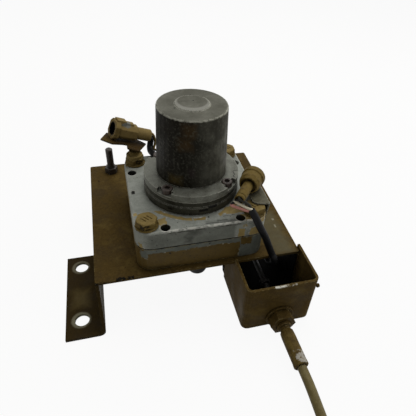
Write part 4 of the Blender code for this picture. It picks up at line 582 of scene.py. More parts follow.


# Die-cast motor can in its thin factory grey, stained by oil on the sides and rubbed light on the top rim,
# with painted shade and light across its wall and a painted highlight on the top pad
def canPaint(look):
    material, tree, shader = blankMaterial("oilDarkenedCastAluminium")
    place = inMillimetres(tree)
    worn, rounded = wornEdges(tree, place, 0.0016, 0.34, 0.52, 2.4, 0.90)
    split = addNode(tree, "SeparateXYZ", {}, {0: place})
    side = addNode(tree, "MapRange", {1: look["roofFrom"], 2: look["wallFrom"]},
                   {0: split.outputs[2]}).outputs[0]
    # painted shade and light: the wall darkens towards one side of the can and lightens towards the other
    offAxis = addNode(tree, "VectorMath", {"operation": "SUBTRACT", 1: motorAxis}, {0: place})
    across = addNode(tree, "VectorMath", {"operation": "DOT_PRODUCT", 1: look["litSideDirection"]},
                     {0: offAxis.outputs[0]})
    sideLit = addNode(tree, "MapRange", {1: look["shadeToLightFrom"], 2: look["shadeToLightTo"]},
                   {0: across.outputs["Value"]}).outputs[0]
    oily = clouds(tree, place, 16.0, 0.34, 0.60, 5.0)
    streak = clouds(tree, place, 5.0, 0.46, 0.62, 3.0, (1.0, 1.0, 0.25))
    flecks = clouds(tree, place, 2.2, 0.52, 0.70, 4.0)
    dots = specks(tree, place, 6.0, 0.9, 0.14)
    # darker where closed in: dirt and painted shade
    dirty = cornerDirtAndShade(tree, place, 0.008, 4.0, 0.9)
    wall = layered(tree, look["wallShadedSide"], [
        (sideLit, look["wallLitSide"]),
        (oily, look["oil"], 0.7),
        (streak, look["streak"], 0.35),
    ])
    wall = marked(tree, place, wall, look["stainsAndShade"])
    roof = layered(tree, look["roof"], [(oily, look["roofDark"], 0.7)])
    # a crescent on the top pad painted lighter: a painted highlight
    disc = bandDepth(tree, place, 0.0, look["padRadius"])
    moved = addNode(tree, "VectorMath", {"operation": "SUBTRACT", 1: look["crescentShift"]},
                    {0: place}).outputs[0]
    inner = bandDepth(tree, moved, 0.0, look["crescentInner"])
    outside = addNode(tree, "Math", {"operation": "MULTIPLY", 1: -1.0}, {0: inner}).outputs[0]
    highlightCrescent = addNode(tree, "Math", {"operation": "MINIMUM"}, {0: disc, 1: outside}).outputs[0]
    lit = addNode(tree, "MapRange", {1: -0.3, 2: 1.2, 4: 0.8}, {0: highlightCrescent}).outputs[0]
    roof = layered(tree, roof, [(lit, look["highlightCrescent"])])
    ragged = shifted(tree, place, 0.9, 2.5)
    edge = bandDepth(tree, ragged, look["rimRadius"], look["rimHalf"])
    high = addNode(tree, "SeparateXYZ", {}, {0: ragged}).outputs[2]
    above = addNode(tree, "Math", {"operation": "SUBTRACT", 1: look["rimLow"]}, {0: high}).outputs[0]
    rimDepth = addNode(tree, "Math", {"operation": "MINIMUM"}, {0: edge, 1: above}).outputs[0]
    rim = addNode(tree, "MapRange", {1: -0.2, 2: 0.4, 4: 0.8}, {0: rimDepth}).outputs[0]
    bare = clouds(tree, place, 3.5, 0.40, 0.56)
    chipped = addNode(tree, "Math", {"operation": "MULTIPLY"}, {0: rim, 1: bare}).outputs[0]
    colour = layered(tree, roof, [
        (side, wall),
        (flecks, look["fleck"], 0.26),
        (dots, soot["canSpeck"]),
        (dirty, soot["canCornerDirtAndShade"]),
        (chipped, look["bare"]),
        (worn, look["bare"]),
    ])
    bump = sprayBump(tree, place, rounded, 1.0, 0.8, ((dots, -2.0), (chipped, -0.8)))
    dress(tree, shader, colour, bump, oily, (0.42, 0.62), {"Metallic": 0.03, "Specular IOR Level": 0.05})
    return material


canCasting = {
    "litSideDirection": (0.98, -0.21, 0.0),
    "shadeToLightFrom": -1.0,
    "shadeToLightTo": 26.0,
    "wallShadedSide": "#100e07",
    "wallLitSide": "#5f5e53",
    "oil": "#12100a",
    "streak": "#33312a",
    "fleck": "#6f6f62",
    "roofFrom": 187.3,
    "wallFrom": 186.2,
    "roof": "#5f5e53",
    "roofDark": "#4a4940",
    "bare": "#a9a89a",
    "padRadius": 15.6,
    "crescentShift": (0.7, 3.3, 0.0),
    "crescentInner": 12.6,
    "highlightCrescent": "#84837a",
    "rimRadius": 32.0,
    "rimHalf": 1.9,
    "rimLow": 186.3,
    "stainsAndShade": [
        # the first is an oil stain and painted shade together on the upper left side; the others are stains
        {"colour": "#15120b", "wander": 5.0, "wave": 14.0, "soft": 7.0, "most": 0.65,
         "boxes": [((97.0, 2.0, 172.0), (15.0, 16.0, 18.0)), ((92.0, 6.0, 142.0), (8.0, 14.0, 14.0))]},
        {"colour": "#5a4424", "wander": 4.0, "wave": 5.0, "soft": 3.0, "most": 0.30,
         "boxes": [((110.0, -4.0, 178.0), (5.0, 6.0, 6.0)), ((106.6, -3.4, 166.0), (5.0, 6.0, 5.0))]},
        {"colour": "#27211f", "wander": 1.5, "wave": 4.0, "soft": 1.5, "most": 0.8,
         "boxes": [((112.1, -4.9, 138.0), (2.6, 4.0, 4.5))]},
        {"colour": "#4c3f1c", "wander": 3.0, "wave": 6.0, "soft": 3.0, "most": 0.6,
         "boxes": [((97.0, 1.7, 129.0), (6.0, 6.0, 4.0))]},
    ],
}


# Turned aluminium ring and flange under thin grey paint, with a film of oil and painted shade at the joints
def turnedAluminiumPaint(name, ground, dark, light, bare="#a8a79b", marks=()):
    material, tree, shader = blankMaterial(name)
    place = inMillimetres(tree)
    worn, rounded = wornEdges(tree, place, 0.0010, 0.36, 0.50, 3.0, 0.86)
    oily = clouds(tree, place, 14.0, 0.42, 0.66, 4.0)
    grain = clouds(tree, place, 1.2, 0.42, 0.74, 2.0)
    dots = specks(tree, place, 5.0, 0.7, 0.15)
    # darker where closed in: dirt and painted shade
    dirty = cornerDirtAndShade(tree, place, 0.006, 5.0, 1.0)
    colour = layered(tree, ground, [
        (oily, dark),
        (grain, light, 0.35),
        (dirty, soot["turnedCornerDirtAndShade"]),
        (dots, soot["turnedSpeck"]),
        (worn, bare),
    ])
    colour = marked(tree, place, colour, marks)
    bump = sprayBump(tree, place, rounded, 0.9, 0.45, ((dots, -1.5), (worn, -0.6)))
    dress(tree, shader, colour, bump, oily, (0.55, 0.40), {"Metallic": 0.06, "Specular IOR Level": 0.10})
    return material


# Steel, ferrite and sintered bronze, bare or blackened: a dull film of oil, and bright where edges rub
def steelFinish(name, ground, film, bright, metal, roughness, rub=0.5, size=6.0):
    material, tree, shader = blankMaterial(name)
    place = inMillimetres(tree)
    worn, rounded = wornEdges(tree, place, 0.0005, 0.62 - 0.3 * rub, 0.76 - 0.3 * rub, 2.0)
    cover = clouds(tree, place, size, 0.40, 0.66, 4.0)
    grain = clouds(tree, place, 0.8, 0.40, 0.75, 2.0)
    # darker where closed in: dirt and painted shade
    dirty = cornerDirtAndShade(tree, place, 0.004, 3.0, 0.8)
    colour = layered(tree, ground, [
        (cover, film),
        (grain, bright, 0.25),
        (dirty, soot["steelCornerDirtAndShade"]),
        (worn, bright),
    ])
    bump = sprayBump(tree, place, rounded, 0.6, 0.3)
    dress(tree, shader, colour, bump, cover, (roughness - 0.06, roughness + 0.16), {"Metallic": metal})
    return material


# Extruded PVC, moulded nylon and the painted conduit: a soft sheen under dust, with no grain of their own.
# Where a height is given, what is above it is coloured black
def flexibleSkin(name, ground, dust, amount, roughness, blackAbove=None):
    material, tree, shader = blankMaterial(name)
    place = inMillimetres(tree)
    dusty = clouds(tree, place, 9.0, 0.45, 0.72, 4.0)
    fine = clouds(tree, place, 1.4, 0.50, 0.74, 2.0)
    colour = layered(tree, ground, [(dusty, dust, amount), (fine, dust, 0.6 * amount)])
    if blackAbove:
        height = addNode(tree, "SeparateXYZ", {}, {0: place}).outputs[2]
        blackTop = addNode(tree, "MapRange", {1: blackAbove - 0.2, 2: blackAbove + 0.3}, {0: height}).outputs[0]
        colour = layered(tree, colour, [(blackTop, soot["wireBlackTop"])])
    bump = sprayBump(tree, place, None, 1.2, 0.15)
    dress(tree, shader, colour, bump, dusty, (roughness, roughness + 0.2), {"Specular IOR Level": 0.12})
    return material


# The inside of the cable box, painted near black as painted shade: a box that lies so many millimetres within
# its walls
hollow = {
    "wall": 2.2,
    "floor": 0.8,
    "rightWall": 1.5,
    "pastRear": 5.0,
    "belowRim": 1.2,
}
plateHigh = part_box("mounting_plate")[1]
boxLow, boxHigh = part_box("cable_box")
hollowLow = (1000 * boxLow[0] + hollow["wall"], 1000 * boxLow[1] + hollow["wall"],
             1000 * boxLow[2] + hollow["floor"])
hollowHigh = (1000 * plateHigh[0] - hollow["rightWall"], 1000 * boxHigh[1] + hollow["pastRear"],
              1000 * boxHigh[2] - hollow["belowRim"])
boxInsideShade = (tuple(0.5 * (a + b) for a, b in zip(hollowLow, hollowHigh)),
             tuple(0.5 * (b - a) for a, b in zip(hollowLow, hollowHigh)))

# Where the paints are chipped, stained or oversprayed, and where shade and light are painted on, in
# millimetres of the part's own frame: boxes by centre and half size, bores by mouth, direction, radius and
# depth. Wander and wave make an edge ragged, soft blurs it, most is how much of the colour covers, and broken
# leaves gaps of about that size
paintMarks = {
    "plate": [
        {"colour": "#5f5c48", "wander": 6.0, "wave": 16.0, "soft": 6.0, "most": 0.75,
         "boxes": [((199.0, -5.0, 55.0), (9.0, 29.0, 3.0))]},
        {"colour": "#96927f", "wander": 0.6, "most": 0.6,
         "boxes": [((206.0, 14.0, 55.0), (1.2, 1.5, 2.0)), ((204.6, 3.4, 55.0), (0.8, 2.2, 2.0))]},
        {"colour": "#0e0c08", "wander": 1.0, "broken": 3.0,
         "boxes": [((45.0, -35.0, 54.0), (8.0, 1.6, 3.0)), ((24.0, -35.5, 54.0), (5.0, 1.0, 3.0))]},
    ],
    "foot": [
        # the whole foot painted darker: painted shade under the plate
        {"colour": "#191308", "wander": 3.0, "soft": 3.0, "most": 0.65,
         "boxes": [((0.0, 0.0, 20.0), (70.0, 90.0, 60.0))]},
        {"colour": "#5d5030", "wander": 5.0, "wave": 9.0, "soft": 5.0, "most": 0.7,
         "boxes": [((-1.0, -8.0, 3.0), (7.0, 10.0, 4.0))]},
        {"colour": "#8b866f", "wander": 0.7, "soft": 0.8, "most": 0.6,
         "bore": ((-0.9, -34.0, 0.0), (0.0, 0.0, 1.0), 9.0, 6.0)},
        {"colour": "#8b866f", "wander": 0.7, "soft": 0.8, "most": 0.5,
         "bore": ((-0.9, 34.0, 0.0), (0.0, 0.0, 1.0), 9.0, 6.0)},
    ],
    "box": [
        # the inside painted black: painted shade
        {"colour": "#060503", "wander": 0.0, "boxes": [boxInsideShade]},
        {"colour": "#cbc8ba", "wander": 1.0, "broken": 4.0,
         "boxes": [((184.5, -77.6, 57.8), (10.5, 1.9, 0.9))]},
    ],
    "connector": [
        {"colour": "#8b774c", "wander": 3.0, "wave": 5.0, "soft": 3.0, "most": 0.5,
         "boxes": [((68.0, 95.0, 132.0), (26.0, 14.0, 20.0))]},
        {"colour": "#6f6f67", "wander": 1.2, "wave": 2.5, "boxes": [((61.5, 91.5, 139.5), (7.0, 4.0, 2.8))]},
        {"colour": "#050403", "wander": 0.0,
         "bore": ((50.2, 89.7, 137.2), (0.8824, 0.2364, -0.4067), 7.5, 14.5)},
    ],
    "bracket": [
        # the bracket under the connector painted darker: painted shadow of the connector
        {"colour": "#271a0c", "wander": 2.0, "wave": 6.0, "soft": 2.0, "most": 0.65,
         "boxes": [((70.0, 82.0, 121.0), (30.0, 20.0, 9.0))]},
    ],
    "bolt": [
        # the tops of the bolt heads painted lighter: painted light on their tops
        {"colour": "#9a8656", "wander": 1.5, "wave": 2.5, "soft": 0.8, "most": 0.45,
         "boxes": [((118.5, 30.0, 109.5), (60.0, 60.0, 1.0)), ((69.0, 79.5, 112.2), (9.5, 9.5, 1.0))]},
        {"colour": "#231c10", "wander": 1.4, "wave": 2.5, "broken": 2.0,
         "boxes": [((67.0, -27.0, 105.5), (4.5, 2.0, 2.5)), ((73.5, 73.0, 106.0), (4.0, 2.5, 2.5))]},
    ],
    "ring": [
        {"colour": "#0b0a07", "wander": 0.5,
         "boxes": [((120.5, -15.3, 106.3), (4.2, 3.0, 1.2)), ((129.0, -14.3, 108.3), (4.2, 3.0, 1.2)),
                   ((91.6, -6.7, 105.8), (1.8, 2.5, 0.8))]},
    ],
    "flange": [
        {"colour": "#17150f", "wander": 0.5,
         "boxes": [((159.0, 18.3, 122.0), (2.2, 0.4, 1.5)), ((156.2, 14.5, 122.0), (0.4, 3.2, 1.5)),
                   ((154.8, 9.8, 122.0), (0.45, 1.9, 1.5))]},
    ],
    "sleeve": [
        # bare metal near the end, painted light over a larger area as its glint: wear and a painted highlight
        {"colour": "#a5a196", "wander": 2.6, "wave": 4.0, "broken": 4.0, "most": 0.85,
         "boxes": [((187.0, -125.0, 20.0), (6.5, 6.0, 4.5))]},
    ],
}
plateFinish = khakiEnamel("khakiEnamelOnPlate", cleanliness=0.30, marks=paintMarks["plate"])
footFinish = khakiEnamel("khakiEnamelOnFoot", cleanliness=0.02, blotch=16.0, wear=0.35,
                         marks=paintMarks["foot"])
boxFinish = khakiEnamel("khakiEnamelOnBox", cleanliness=0.30, blotch=26.0, wear=0.55, marks=paintMarks["box"])
bracketFinish = khakiEnamel("khakiEnamelOnBracket", cleanliness=0.25, blotch=12.0,
                            marks=paintMarks["bracket"])
boltFinish = khakiEnamel("khakiEnamelOnBolts", cleanliness=0.85, blotch=9.0, wear=0.60, roughness=0.55,
                         marks=paintMarks["bolt"])
connectorFinish = khakiEnamel("khakiOversprayOnNylon", cleanliness=0.95, blotch=10.0, wear=0.45,
                              roughness=0.50, marks=paintMarks["connector"])
hubFinish = khakiEnamel("khakiEnamelOnFitting", cleanliness=0.25, blotch=9.0, wear=0.55, roughness=0.50)
sleeveFinish = khakiEnamel("khakiEnamelOnCrimpSleeve", cleanliness=0.65, blotch=9.0, wear=0.30,
                           roughness=0.45, marks=paintMarks["sleeve"])
coverFinish = castingPaint(coverPaint)
bodyFinish = castingPaint(bodyPaint)
canFinish = canPaint(canCasting)
ringFinish = turnedAluminiumPaint("greyPaintOnAdaptorRing", "#38372d", "#201f17", "#525248",
                                  marks=paintMarks["ring"])
flangeFinish = turnedAluminiumPaint("greyPaintOnMotorFlange", "#73746a", "#55554b", "#909187",
                                    marks=paintMarks["flange"])
tabFinish = turnedAluminiumPaint("greyPaintOnTab", "#5b5846", "#464233", "#77745f")
screwFinish = steelFinish("rustedCapScrewSteel", "#2c2017", "#150e09", "#6d6053",
                          metal=0.15, roughness=0.55, size=3.0)
rodFinish = steelFinish("oilBlackenedRodSteel", "#1b1916", "#0d0b09", "#4a4741",
                        metal=0.3, roughness=0.50, rub=0.4, size=4.0)
studFinish = steelFinish("oiledStudSteel", "#241d17", "#120e0b", "#6f675a",
                         metal=0.5, roughness=0.45, rub=0.4, size=5.0)
machinedFinish = steelFinish("machinedSteel", "#8d8b86", "#6f6a60", "#c2c1bc",
                             metal=0.95, roughness=0.32, rub=0.6, size=8.0)
magnetFinish = steelFinish("ferriteMagnet", "#2c2a29", "#232120", "#56524e",
                           metal=0.1, roughness=0.60, rub=0.4, size=5.0)
bronzeFinish = steelFinish("sinteredBronze", "#a2723f", "#7d5328", "#d0a15f",
                           metal=0.9, roughness=0.38, size=5.0)
conduitFinish = flexibleSkin("khakiPaintOnConduit", "#5d5230", "#80764f", amount=0.45, roughness=0.38)
jacketFinish = flexibleSkin("blackPvcJacket", "#030303", "#12110e", amount=0.20, roughness=0.50)
plasticFinish = flexibleSkin("blackGlassNylon", "#101010", "#3a3730", amount=0.30, roughness=0.45)
whiteWireFinish = flexibleSkin("whitePvcCover", "#d8d0b8", "#a09474", amount=0.35, roughness=0.40,
                               blackAbove=120.6)
pinkWireFinish = flexibleSkin("pinkPvcCover", "#ba8378", "#8f6455", amount=0.35, roughness=0.40,
                              blackAbove=117.4)
greyWireFinish = flexibleSkin("greyPvcCover", "#26251f", "#14120e", amount=0.45, roughness=0.42)
print("materials made")

finishes = {
    "mounting_plate": plateFinish, "foot_angle": footFinish, "cable_box": boxFinish,
    "gearbox_body": bodyFinish, "gearbox_cover": coverFinish, "motor_can": canFinish,
    "adaptor_ring": ringFinish, "motor_flange": flangeFinish,
    "left_connector": connectorFinish, "right_connector": connectorFinish, "left_boot": connectorFinish,
    "right_boot": connectorFinish, "left_bracket": bracketFinish, "right_bracket": tabFinish,
    "bulkhead_hub": hubFinish, "hub_washer": hubFinish, "outer_nut": hubFinish, "inner_nut": hubFinish,
    "far_end_fitting": hubFinish,
    "rear_stud": studFinish, "stud_nut": studFinish, "rod_nut": rodFinish,
    "cable_rod": rodFinish, "output_lever": rodFinish, "lever_pin": rodFinish, "lever_nut": rodFinish,
    "position_sensor": plasticFinish, "brush_holder": plasticFinish,
    "commutator": bronzeFinish, "output_bush": bronzeFinish,
    "magnet_left": magnetFinish, "magnet_right": magnetFinish,
}
for name, part in parts.items():
    if name.startswith("housing_bolt"):
        finish = boltFinish
    elif name.startswith("flange_screw"):
        finish = screwFinish
    else:
        finish = finishes.get(name, machinedFinish)
    part.data.materials.clear()
    part.data.materials.append(finish)
print("CAD pieces finished")


# The control cable is one route from the crimp sleeve to its far end. Its bends are given as shares of
# the way, and as metres below the exit, metres above where it lies, or shares of the fall
controlCable = {
    "exit": (0.1840, -0.1321, 0.0148),
    "diameter": 0.0085,
    "descent": ((0.20, 0.0005), (0.50, 0.0048)),
    "landing": (0.80, 0.0008),
    "coilCentre": (0.1370, -0.2531),
    "coilRadius": 0.047,
    "coilTurns": 2.25,
    "coilSteps": 216,
    "straightSteps": 8,
    "touchdown": -0.22376,
    "leaving": 0.10766,
    "tail": 0.055,
    "tailBend": ((0.0, 0.0), (0.2, 0.04), (0.5, 0.5), (0.8, 0.96), (1.0, 1.0)),
    "farHeight": 0.0073,
    "spacing": 0.003,
}


def cableRoute(look):
    x, y, z = look["exit"]
    lying = 0.5 * look["diameter"] + seatGap
    drop = y - look["touchdown"]
    ahead = [(x, y, z)] + [(x, y - share * drop, z - fall) for share, fall in look["descent"]]
    share, lift = look["landing"]
    ahead += [(x, y - share * drop, lying + lift), (x, look["touchdown"], lying)]
    points = smoothRoute(ahead, look["spacing"])
    centreX, centreY = look["coilCentre"]
    steps = look["straightSteps"]
    run = look["touchdown"] - centreY
    points += [Vector((x, look["touchdown"] - run * i / steps, lying)) for i in range(1, steps)]
    for i in range(look["coilSteps"] + 1):
        turns = look["coilTurns"] * i / look["coilSteps"]
        angle = -2 * math.pi * turns
        points.append(Vector((centreX + look["coilRadius"] * math.cos(angle),
                              centreY + look["coilRadius"] * math.sin(angle),
                              lying + look["diameter"] * turns)))
    rowY = centreY - look["coilRadius"]
    high = lying + look["diameter"] * look["coilTurns"]
    leave = look["leaving"]
    run = centreX - leave
    points += [Vector((centreX - run * i / steps, rowY, high)) for i in range(1, steps)]
    down = high - look["farHeight"]
    tail = [(leave - share * look["tail"], rowY, high - fall * down) for share, fall in look["tailBend"]]
    points += smoothRoute(tail, look["spacing"])
    return points


cablePoints = cableRoute(controlCable)
conduitPiece = tubeAlong("control_cable_conduit", cablePoints, controlCable["diameter"], sides=24)
finished(conduitPiece, conduitFinish)
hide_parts("conduit", "conduit_coil", "conduit_tail")


# The leads that come with the two connectors. Routes are in metres from the motor's axis
leads = {
    "leadD": 0.0066,
    "wireD": 0.0026,
    "jacketD": 0.0068,
    "spacing": 0.0015,
    "jacketSpacing": 0.0016,
    "strandSpacing": 0.0010,
    "coverTop": 0.1010,
    "leftMouth": (-0.0683, 0.0597, 0.1372),
    "leftTurn": 195.0,
    "leftTilt": 24.0,
    "leftLength": 0.0415,
    "leadOffset": -0.0028,
    "leadStraight": 0.0015,
    "leadFalling": ((-0.0301, 0.0700, 0.1128), (-0.0314, 0.0680, 0.1072)),
    "leadLying": ((-0.0314, 0.0630), (-0.0290, 0.0560)),
    "leadEntry": 118.0,
    "wireOffset": 0.0026,
    "wireStraight": 0.0012,
    "wireFalling": ((-0.0264, 0.0706, 0.1190), (-0.0254, 0.0704, 0.1140), (-0.0256, 0.0698, 0.1094)),
    "wireLying": ((-0.0272, 0.0660), (-0.0210, 0.0610)),
    "wireEntry": 104.0,
    "wireLift": 0.004,
    "ringRadius": 0.0455,
    "portRun": 0.010,
    "rightEnd": (0.0331, -0.0525),
    "rightTurn": 52.3,
    "rightHeight": 0.1221,
    "lip": ((0, 0), (0.0047, 0), (0.0047, 0.0026), (0.0042, 0.0032), (0.0038, 0.0032), (0.0038, 0.0006),
            (0, 0.0006)),
    "jacketStart": (0.0412, -0.0605, 0.1135),
    "jacketBend": (0.0452, -0.0652, 0.1062),
    "sensorGland": (0.0127073, -0.0323878, 0.0442),
    "sensorRoute": (
        (0.0215, -0.03475, 0.0445), (0.0300, -0.03475, 0.0445), (0.0450, -0.0338, 0.0446),
        (0.0560, -0.0360, 0.0446), (0.0632, -0.0440, 0.0448), (0.0660, -0.0550, 0.0450),
        (0.0664, -0.0665, 0.0462), (0.0680, -0.0715, 0.0515), (0.0675, -0.0715, 0.0565),
        (0.0655, -0.0690, 0.0605), (0.0613, -0.0674, 0.0710), (0.0562, -0.0672, 0.0835),
        (0.0500, -0.0676, 0.0960),
    ),
    "strandSpread": 0.0016,
    "strandInto": 0.001,
    "strands": {
        "grey_wire": (200.0, ((0.0322, -0.0538, 0.1242), (0.0304, -0.0556, 0.1240), (0.0318, -0.0562, 0.1228),
                              (0.0362, -0.0576, 0.1200), (0.0394, -0.0592, 0.1176))),
        "white_wire": (85.0, ((0.0324, -0.0538, 0.1212), (0.0306, -0.0550, 0.1214), (0.0288, -0.0543, 0.1207),
                              (0.0277, -0.0535, 0.1197), (0.0286, -0.0541, 0.1188), (0.0330, -0.0568, 0.1171),
                              (0.0372, -0.0595, 0.1156))),
        "pink_wire": (330.0, ((0.0322, -0.0538, 0.1194), (0.0300, -0.0540, 0.1186), (0.0268, -0.0534, 0.1176),
                              (0.0244, -0.0540, 0.1167), (0.0252, -0.0552, 0.1160), (0.0312, -0.0580, 0.1145),
                              (0.0364, -0.0602, 0.1131))),
    },
}


def atMotor(route):
    return [(motorX + x, motorY + y, z) for x, y, z in route]


# The last two points of a lead, level, towards its port in the adaptor ring
def intoPort(look, entry, height):
    turn = math.radians(entry)
    inward = Vector((math.cos(turn), math.sin(turn)))
    before = inward * (look["ringRadius"] + look["portRun"])
    port = inward * (look["ringRadius"] + 2 * seatGap)
    return [(before.x, before.y, height), (port.x, port.y, height)]


# The two leads from the left boot: out of its end, down to the cover and along it to the ring
def motorLeads(look):
    turn = math.radians(look["leftTurn"])
    tilt = math.radians(look["leftTilt"])
    axis = Vector((-math.cos(turn) * math.cos(tilt), -math.sin(turn) * math.cos(tilt), -math.sin(tilt)))
    up = Vector((-math.sin(tilt) * math.cos(turn), -math.sin(tilt) * math.sin(turn), math.cos(tilt)))
    end = Vector(look["leftMouth"]) + axis * (look["leftLength"] + 5 * seatGap)
    lifts = {"lead": 0.5 * look["leadD"] + 2 * seatGap, "wire": look["wireLift"]}
    routes = []
    for which, lift in lifts.items():
        start = end + up * look[which + "Offset"]
        height = look["coverTop"] + lift
        route = [tuple(start), tuple(start + axis * look[which + "Straight"]), *look[which + "Falling"]]
        route += [(x, y, height) for x, y in look[which + "Lying"]]
        routes.append(atMotor(route + intoPort(look, look[which + "Entry"], height)))
    return routes


# Three strands that hook round from the boot's mouth and run straight to the jacket
def sensorWires(look):
    jacket = Vector(look["jacketStart"])
    back = (Vector(look["jacketBend"]) - jacket).normalized()
    left = Vector((back.y, -back.x, 0.0)).normalized()
    up = left.cross(back)
    routes = {}
    for name, (turn, middle) in look["strands"].items():
        angle = math.radians(turn)
        outward = left * math.cos(angle) + up * math.sin(angle)
        last = jacket + back * look["strandInto"] + outward * look["strandSpread"]
        routes[name] = atMotor([*middle, tuple(last)])
    return routes


def makeLeads(look):
    lead, wire = motorLeads(look)
    piece = tubeAlong("motor_lead_jacket", smoothRoute(lead, look["spacing"]), look["leadD"], sides=20)
    finished(piece, jacketFinish)
    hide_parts("motor_lead")
    piece = tubeAlong("motor_lead_tan_wire", smoothRoute(wire, look["spacing"]), look["wireD"], sides=14)
    finished(piece, connectorFinish)
    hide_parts("motor_lead_wire")
    heading = math.radians(look["rightTurn"])
    ahead = Vector((math.cos(heading), math.sin(heading), 0.0))
    x, y = look["rightEnd"]
    mouth = Vector((motorX + x, motorY + y, look["rightHeight"])) - ahead * seatGap
    piece = turnedPiece("right_boot_lip", look["lip"], mouth, -ahead, sides=32)
    finished(piece, connectorFinish)
    route = atMotor([look["sensorGland"], *look["sensorRoute"], look["jacketBend"], look["jacketStart"]])
    piece = tubeAlong("sensor_cable_jacket", smoothRoute(route, look["jacketSpacing"]), look["jacketD"],
                      sides=22)
    finished(piece, jacketFinish)
    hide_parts("sensor_cable")
    covers = {"grey_wire": (greyWireFinish, "grey_cover"), "white_wire": (whiteWireFinish, "white_cover"),
              "pink_wire": (pinkWireFinish, "pink_cover")}
    for name, points in sensorWires(look).items():
        cover, slotName = covers[name]
        piece = tubeAlong(name + "_cover", smoothRoute(points, look["strandSpacing"]), look["wireD"],
                          sides=16)
        finished(piece, cover)
        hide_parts(name)


makeLeads(leads)
print("leads and wires made")


boltSpread = 0.0495    # from the motor's axis to each housing bolt, both ways
boltTop = 0.1090

# Three raised lines on each of three bolt heads
gradeLines = {
    "heads": ((-1, -1), (1, -1), (1, 1)),
    "size": (0.0062, 0.0008, 0.0005),
    "pitch": 0.0028,
    "stagger": 0.00084,
    "turn": -50.0,
}


def makeGradeLines(look):
    mesh = bmesh.new()
    turn = Matrix.Rotation(math.radians(look["turn"]), 4, "Z")
    size = Matrix.Diagonal((*look["size"], 1.0))
    for sideX, sideY in look["heads"]:
        head = Matrix.Translation((motorX + sideX * boltSpread, motorY + sideY * boltSpread, boltTop))
        for i in (-1, 0, 1):
            bar = Matrix.Translation((i * look["stagger"], i * look["pitch"], 0.0))
            bmesh.ops.create_cube(mesh, size=1.0, matrix=head @ turn @ bar @ size)
    finished(meshObject("bolt_grade_lines", mesh), hubFinish)


makeGradeLines(gradeLines)


# Small pieces that the solids leave out: turned ones by their profile, as radius and distance from the seat,
# and the return of the box's right wall by its two corners
studLow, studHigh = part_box("rear_stud")
smallPieces = {
    "bracket_spacer": {
        "profile": ((0, 0), (0.0083, 0), (0.0083, 0.0025), (0.0075, 0.0032), (0.0052, 0.0032),
                    (0.0052, 0.0072), (0, 0.0072)),
        "seat": (motorX - boltSpread, motorY + boltSpread, boltTop), "towards": (0, 0, 1), "sides": 48,
        "finish": boltFinish, "slot": "olive_paint",
    },
    "plate_plug": {
        "profile": ((0, 0), (0.0066, 0), (0.0085, 0.0010), (0.0094, 0.0032), (0.0094, 0.0095), (0, 0.0095)),
        "seat": (0.1136, -0.0255, 0.0422), "towards": (0, 0, 1), "sides": 40,
        "finish": jacketFinish, "slot": "black_jacket",
    },
    "rear_stud_tip": {
        "profile": ((0, -0.001), (0.0040, -0.001), (0.0040, 0.0050), (0.0030, 0.0060), (0, 0.0060)),
        "seat": (0.5 * (studLow[0] + studHigh[0]), 0.5 * (studLow[1] + studHigh[1]), studHigh[2]),
        "towards": (0, 0, 1), "sides": 32, "finish": studFinish, "slot": "dark_steel",
    },
    "box_side_return": {
        "low": (plateHigh[0] - seatGap - 0.0025, -0.0375, boxLow[2] + 0.0018),
        "high": (plateHigh[0] - seatGap, 0.0100, 0.0515), "edge": 0.0004,
        "finish": boxFinish, "slot": "olive_paint",
    },
    "box_side_screw": {
        "profile": ((0, 0), (0.0020, 0), (0.0020, 0.0021), (0.0014, 0.0026), (0, 0.0026)),
        "seat": (boxHigh[0] + 0.0001, -0.0740, 0.0462), "towards": (1, 0, 0), "sides": 24,
        "finish": hubFinish, "slot": "olive_paint",
    },
}
for name, look in smallPieces.items():
    if "profile" in look:
        piece = turnedPiece(name, look["profile"], look["seat"], look["towards"], look["sides"])
    else:
        piece = barPiece(name, look["low"], look["high"], look["edge"])
    finished(piece, look["finish"])


# The crimp sleeve: nose at the fitting, hollow rim where the conduit enters, as lengths from either end
crimpSleeve = {
    "nose": ((0, 0), (0.0054, 0), (0.0063, 0.0014), (0.0066, 0.006)),
    "rim": ((0.0066, 0.005), (0.0068, 0.003), (0.0068, 0.0008), (0.0060, 0), (0.0047, 0), (0.0047, 0.0014),
            (0, 0.0014)),
}


def makeSleeve(look):
    low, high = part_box("crimp_sleeve")
    length = high[1] - low[1]
    profile = [*look["nose"], *((radius, length - back) for radius, back in look["rim"])]
    start = (0.5 * (low[0] + high[0]), high[1], 0.5 * (low[2] + high[2]))
    piece = turnedPiece("crimp_sleeve_painted", profile, start, (0, -1, 0))
    finished(piece, sleeveFinish)
    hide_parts("crimp_sleeve")


makeSleeve(crimpSleeve)
print("small pieces made")


# Floor, backdrop and lights
studio = {
    "floorHalf": 3.0,
    "floorColour": "#d9d8d4",
    "floorRoughness": 0.9,
    "floorSpecular": 0.1,
    "whiteShare": 0.93,
    "fill": 0.20,
    "lamps": {
        "overhead": {"place": (0.35, 0.45, 1.15), "aim": (0.12, 0.02, 0.08), "size": 1.1, "power": 10.5},
        "rightSide": {"place": (1.10, -0.10, 0.60), "aim": (0.12, 0.02, 0.08), "size": 0.7, "power": 3.0},
        "front": {"place": (-0.30, -1.00, 0.80), "aim": (0.12, 0.02, 0.05), "size": 0.9, "power": 1.2},
    },
}


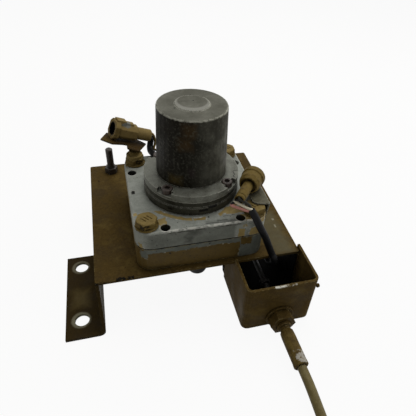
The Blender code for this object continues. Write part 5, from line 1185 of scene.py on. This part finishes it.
# White to the camera, to mirrors and through glass; plain pale board to every other ray
def seenWhite(tree):
    path = addNode(tree, "LightPath")
    direct = addNode(tree, "Math", {"operation": "MAXIMUM"},
                     {0: path.outputs["Is Camera Ray"], 1: path.outputs["Is Glossy Ray"]})
    return addNode(tree, "Math", {"operation": "MAXIMUM"},
                   {0: direct.outputs[0], 1: path.outputs["Is Transmission Ray"]}).outputs[0]


def makeStudio(look):
    material, tree, shader = blankMaterial("paleBoard")
    shader.inputs["Base Color"].default_value = linear(look["floorColour"])
    shader.inputs["Roughness"].default_value = look["floorRoughness"]
    shader.inputs["Specular IOR Level"].default_value = look["floorSpecular"]
    glow = addNode(tree, "Emission", {"Color": (1.0, 1.0, 1.0, 1.0), "Strength": 1.0})
    share = addNode(tree, "Math", {"operation": "MULTIPLY", 1: look["whiteShare"]}, {0: seenWhite(tree)})
    both = addNode(tree, "MixShader", {}, {0: share.outputs[0], 1: shader.outputs[0], 2: glow.outputs[0]})
    tree.links.new(both.outputs[0], tree.nodes["Material Output"].inputs["Surface"])
    half = look["floorHalf"]
    mesh = bmesh.new()
    corners = ((-half, -half), (half, -half), (half, half), (-half, half))
    mesh.faces.new([mesh.verts.new((x, y, 0.0)) for x, y in corners])
    floor = meshObject("studio_floor", mesh)
    floor.data.materials.append(material)
    world = bpy.data.worlds.new("softRoom")
    bpy.context.scene.world = world
    world.use_nodes = True
    tree = world.node_tree
    ground = tree.nodes["Background"]
    ground.inputs["Color"].default_value = (1.0, 1.0, 1.0, 1.0)
    level = addNode(tree, "MapRange", {3: look["fill"], 4: 1.0}, {0: seenWhite(tree)})
    tree.links.new(level.outputs[0], ground.inputs["Strength"])
    for name, lamp in look["lamps"].items():
        data = bpy.data.lights.new(name, "AREA")
        data.shape = "SQUARE"
        data.size = lamp["size"]
        data.energy = lamp["power"]
        light = bpy.data.objects.new(name, data)
        bpy.context.scene.collection.objects.link(light)
        light.location = lamp["place"]
        ahead = Vector(lamp["aim"]) - Vector(lamp["place"])
        light.rotation_euler = ahead.to_track_quat("-Z", "Y").to_euler()


makeStudio(studio)
bpy.context.scene.view_settings.view_transform = "Standard"
print("studio lit")
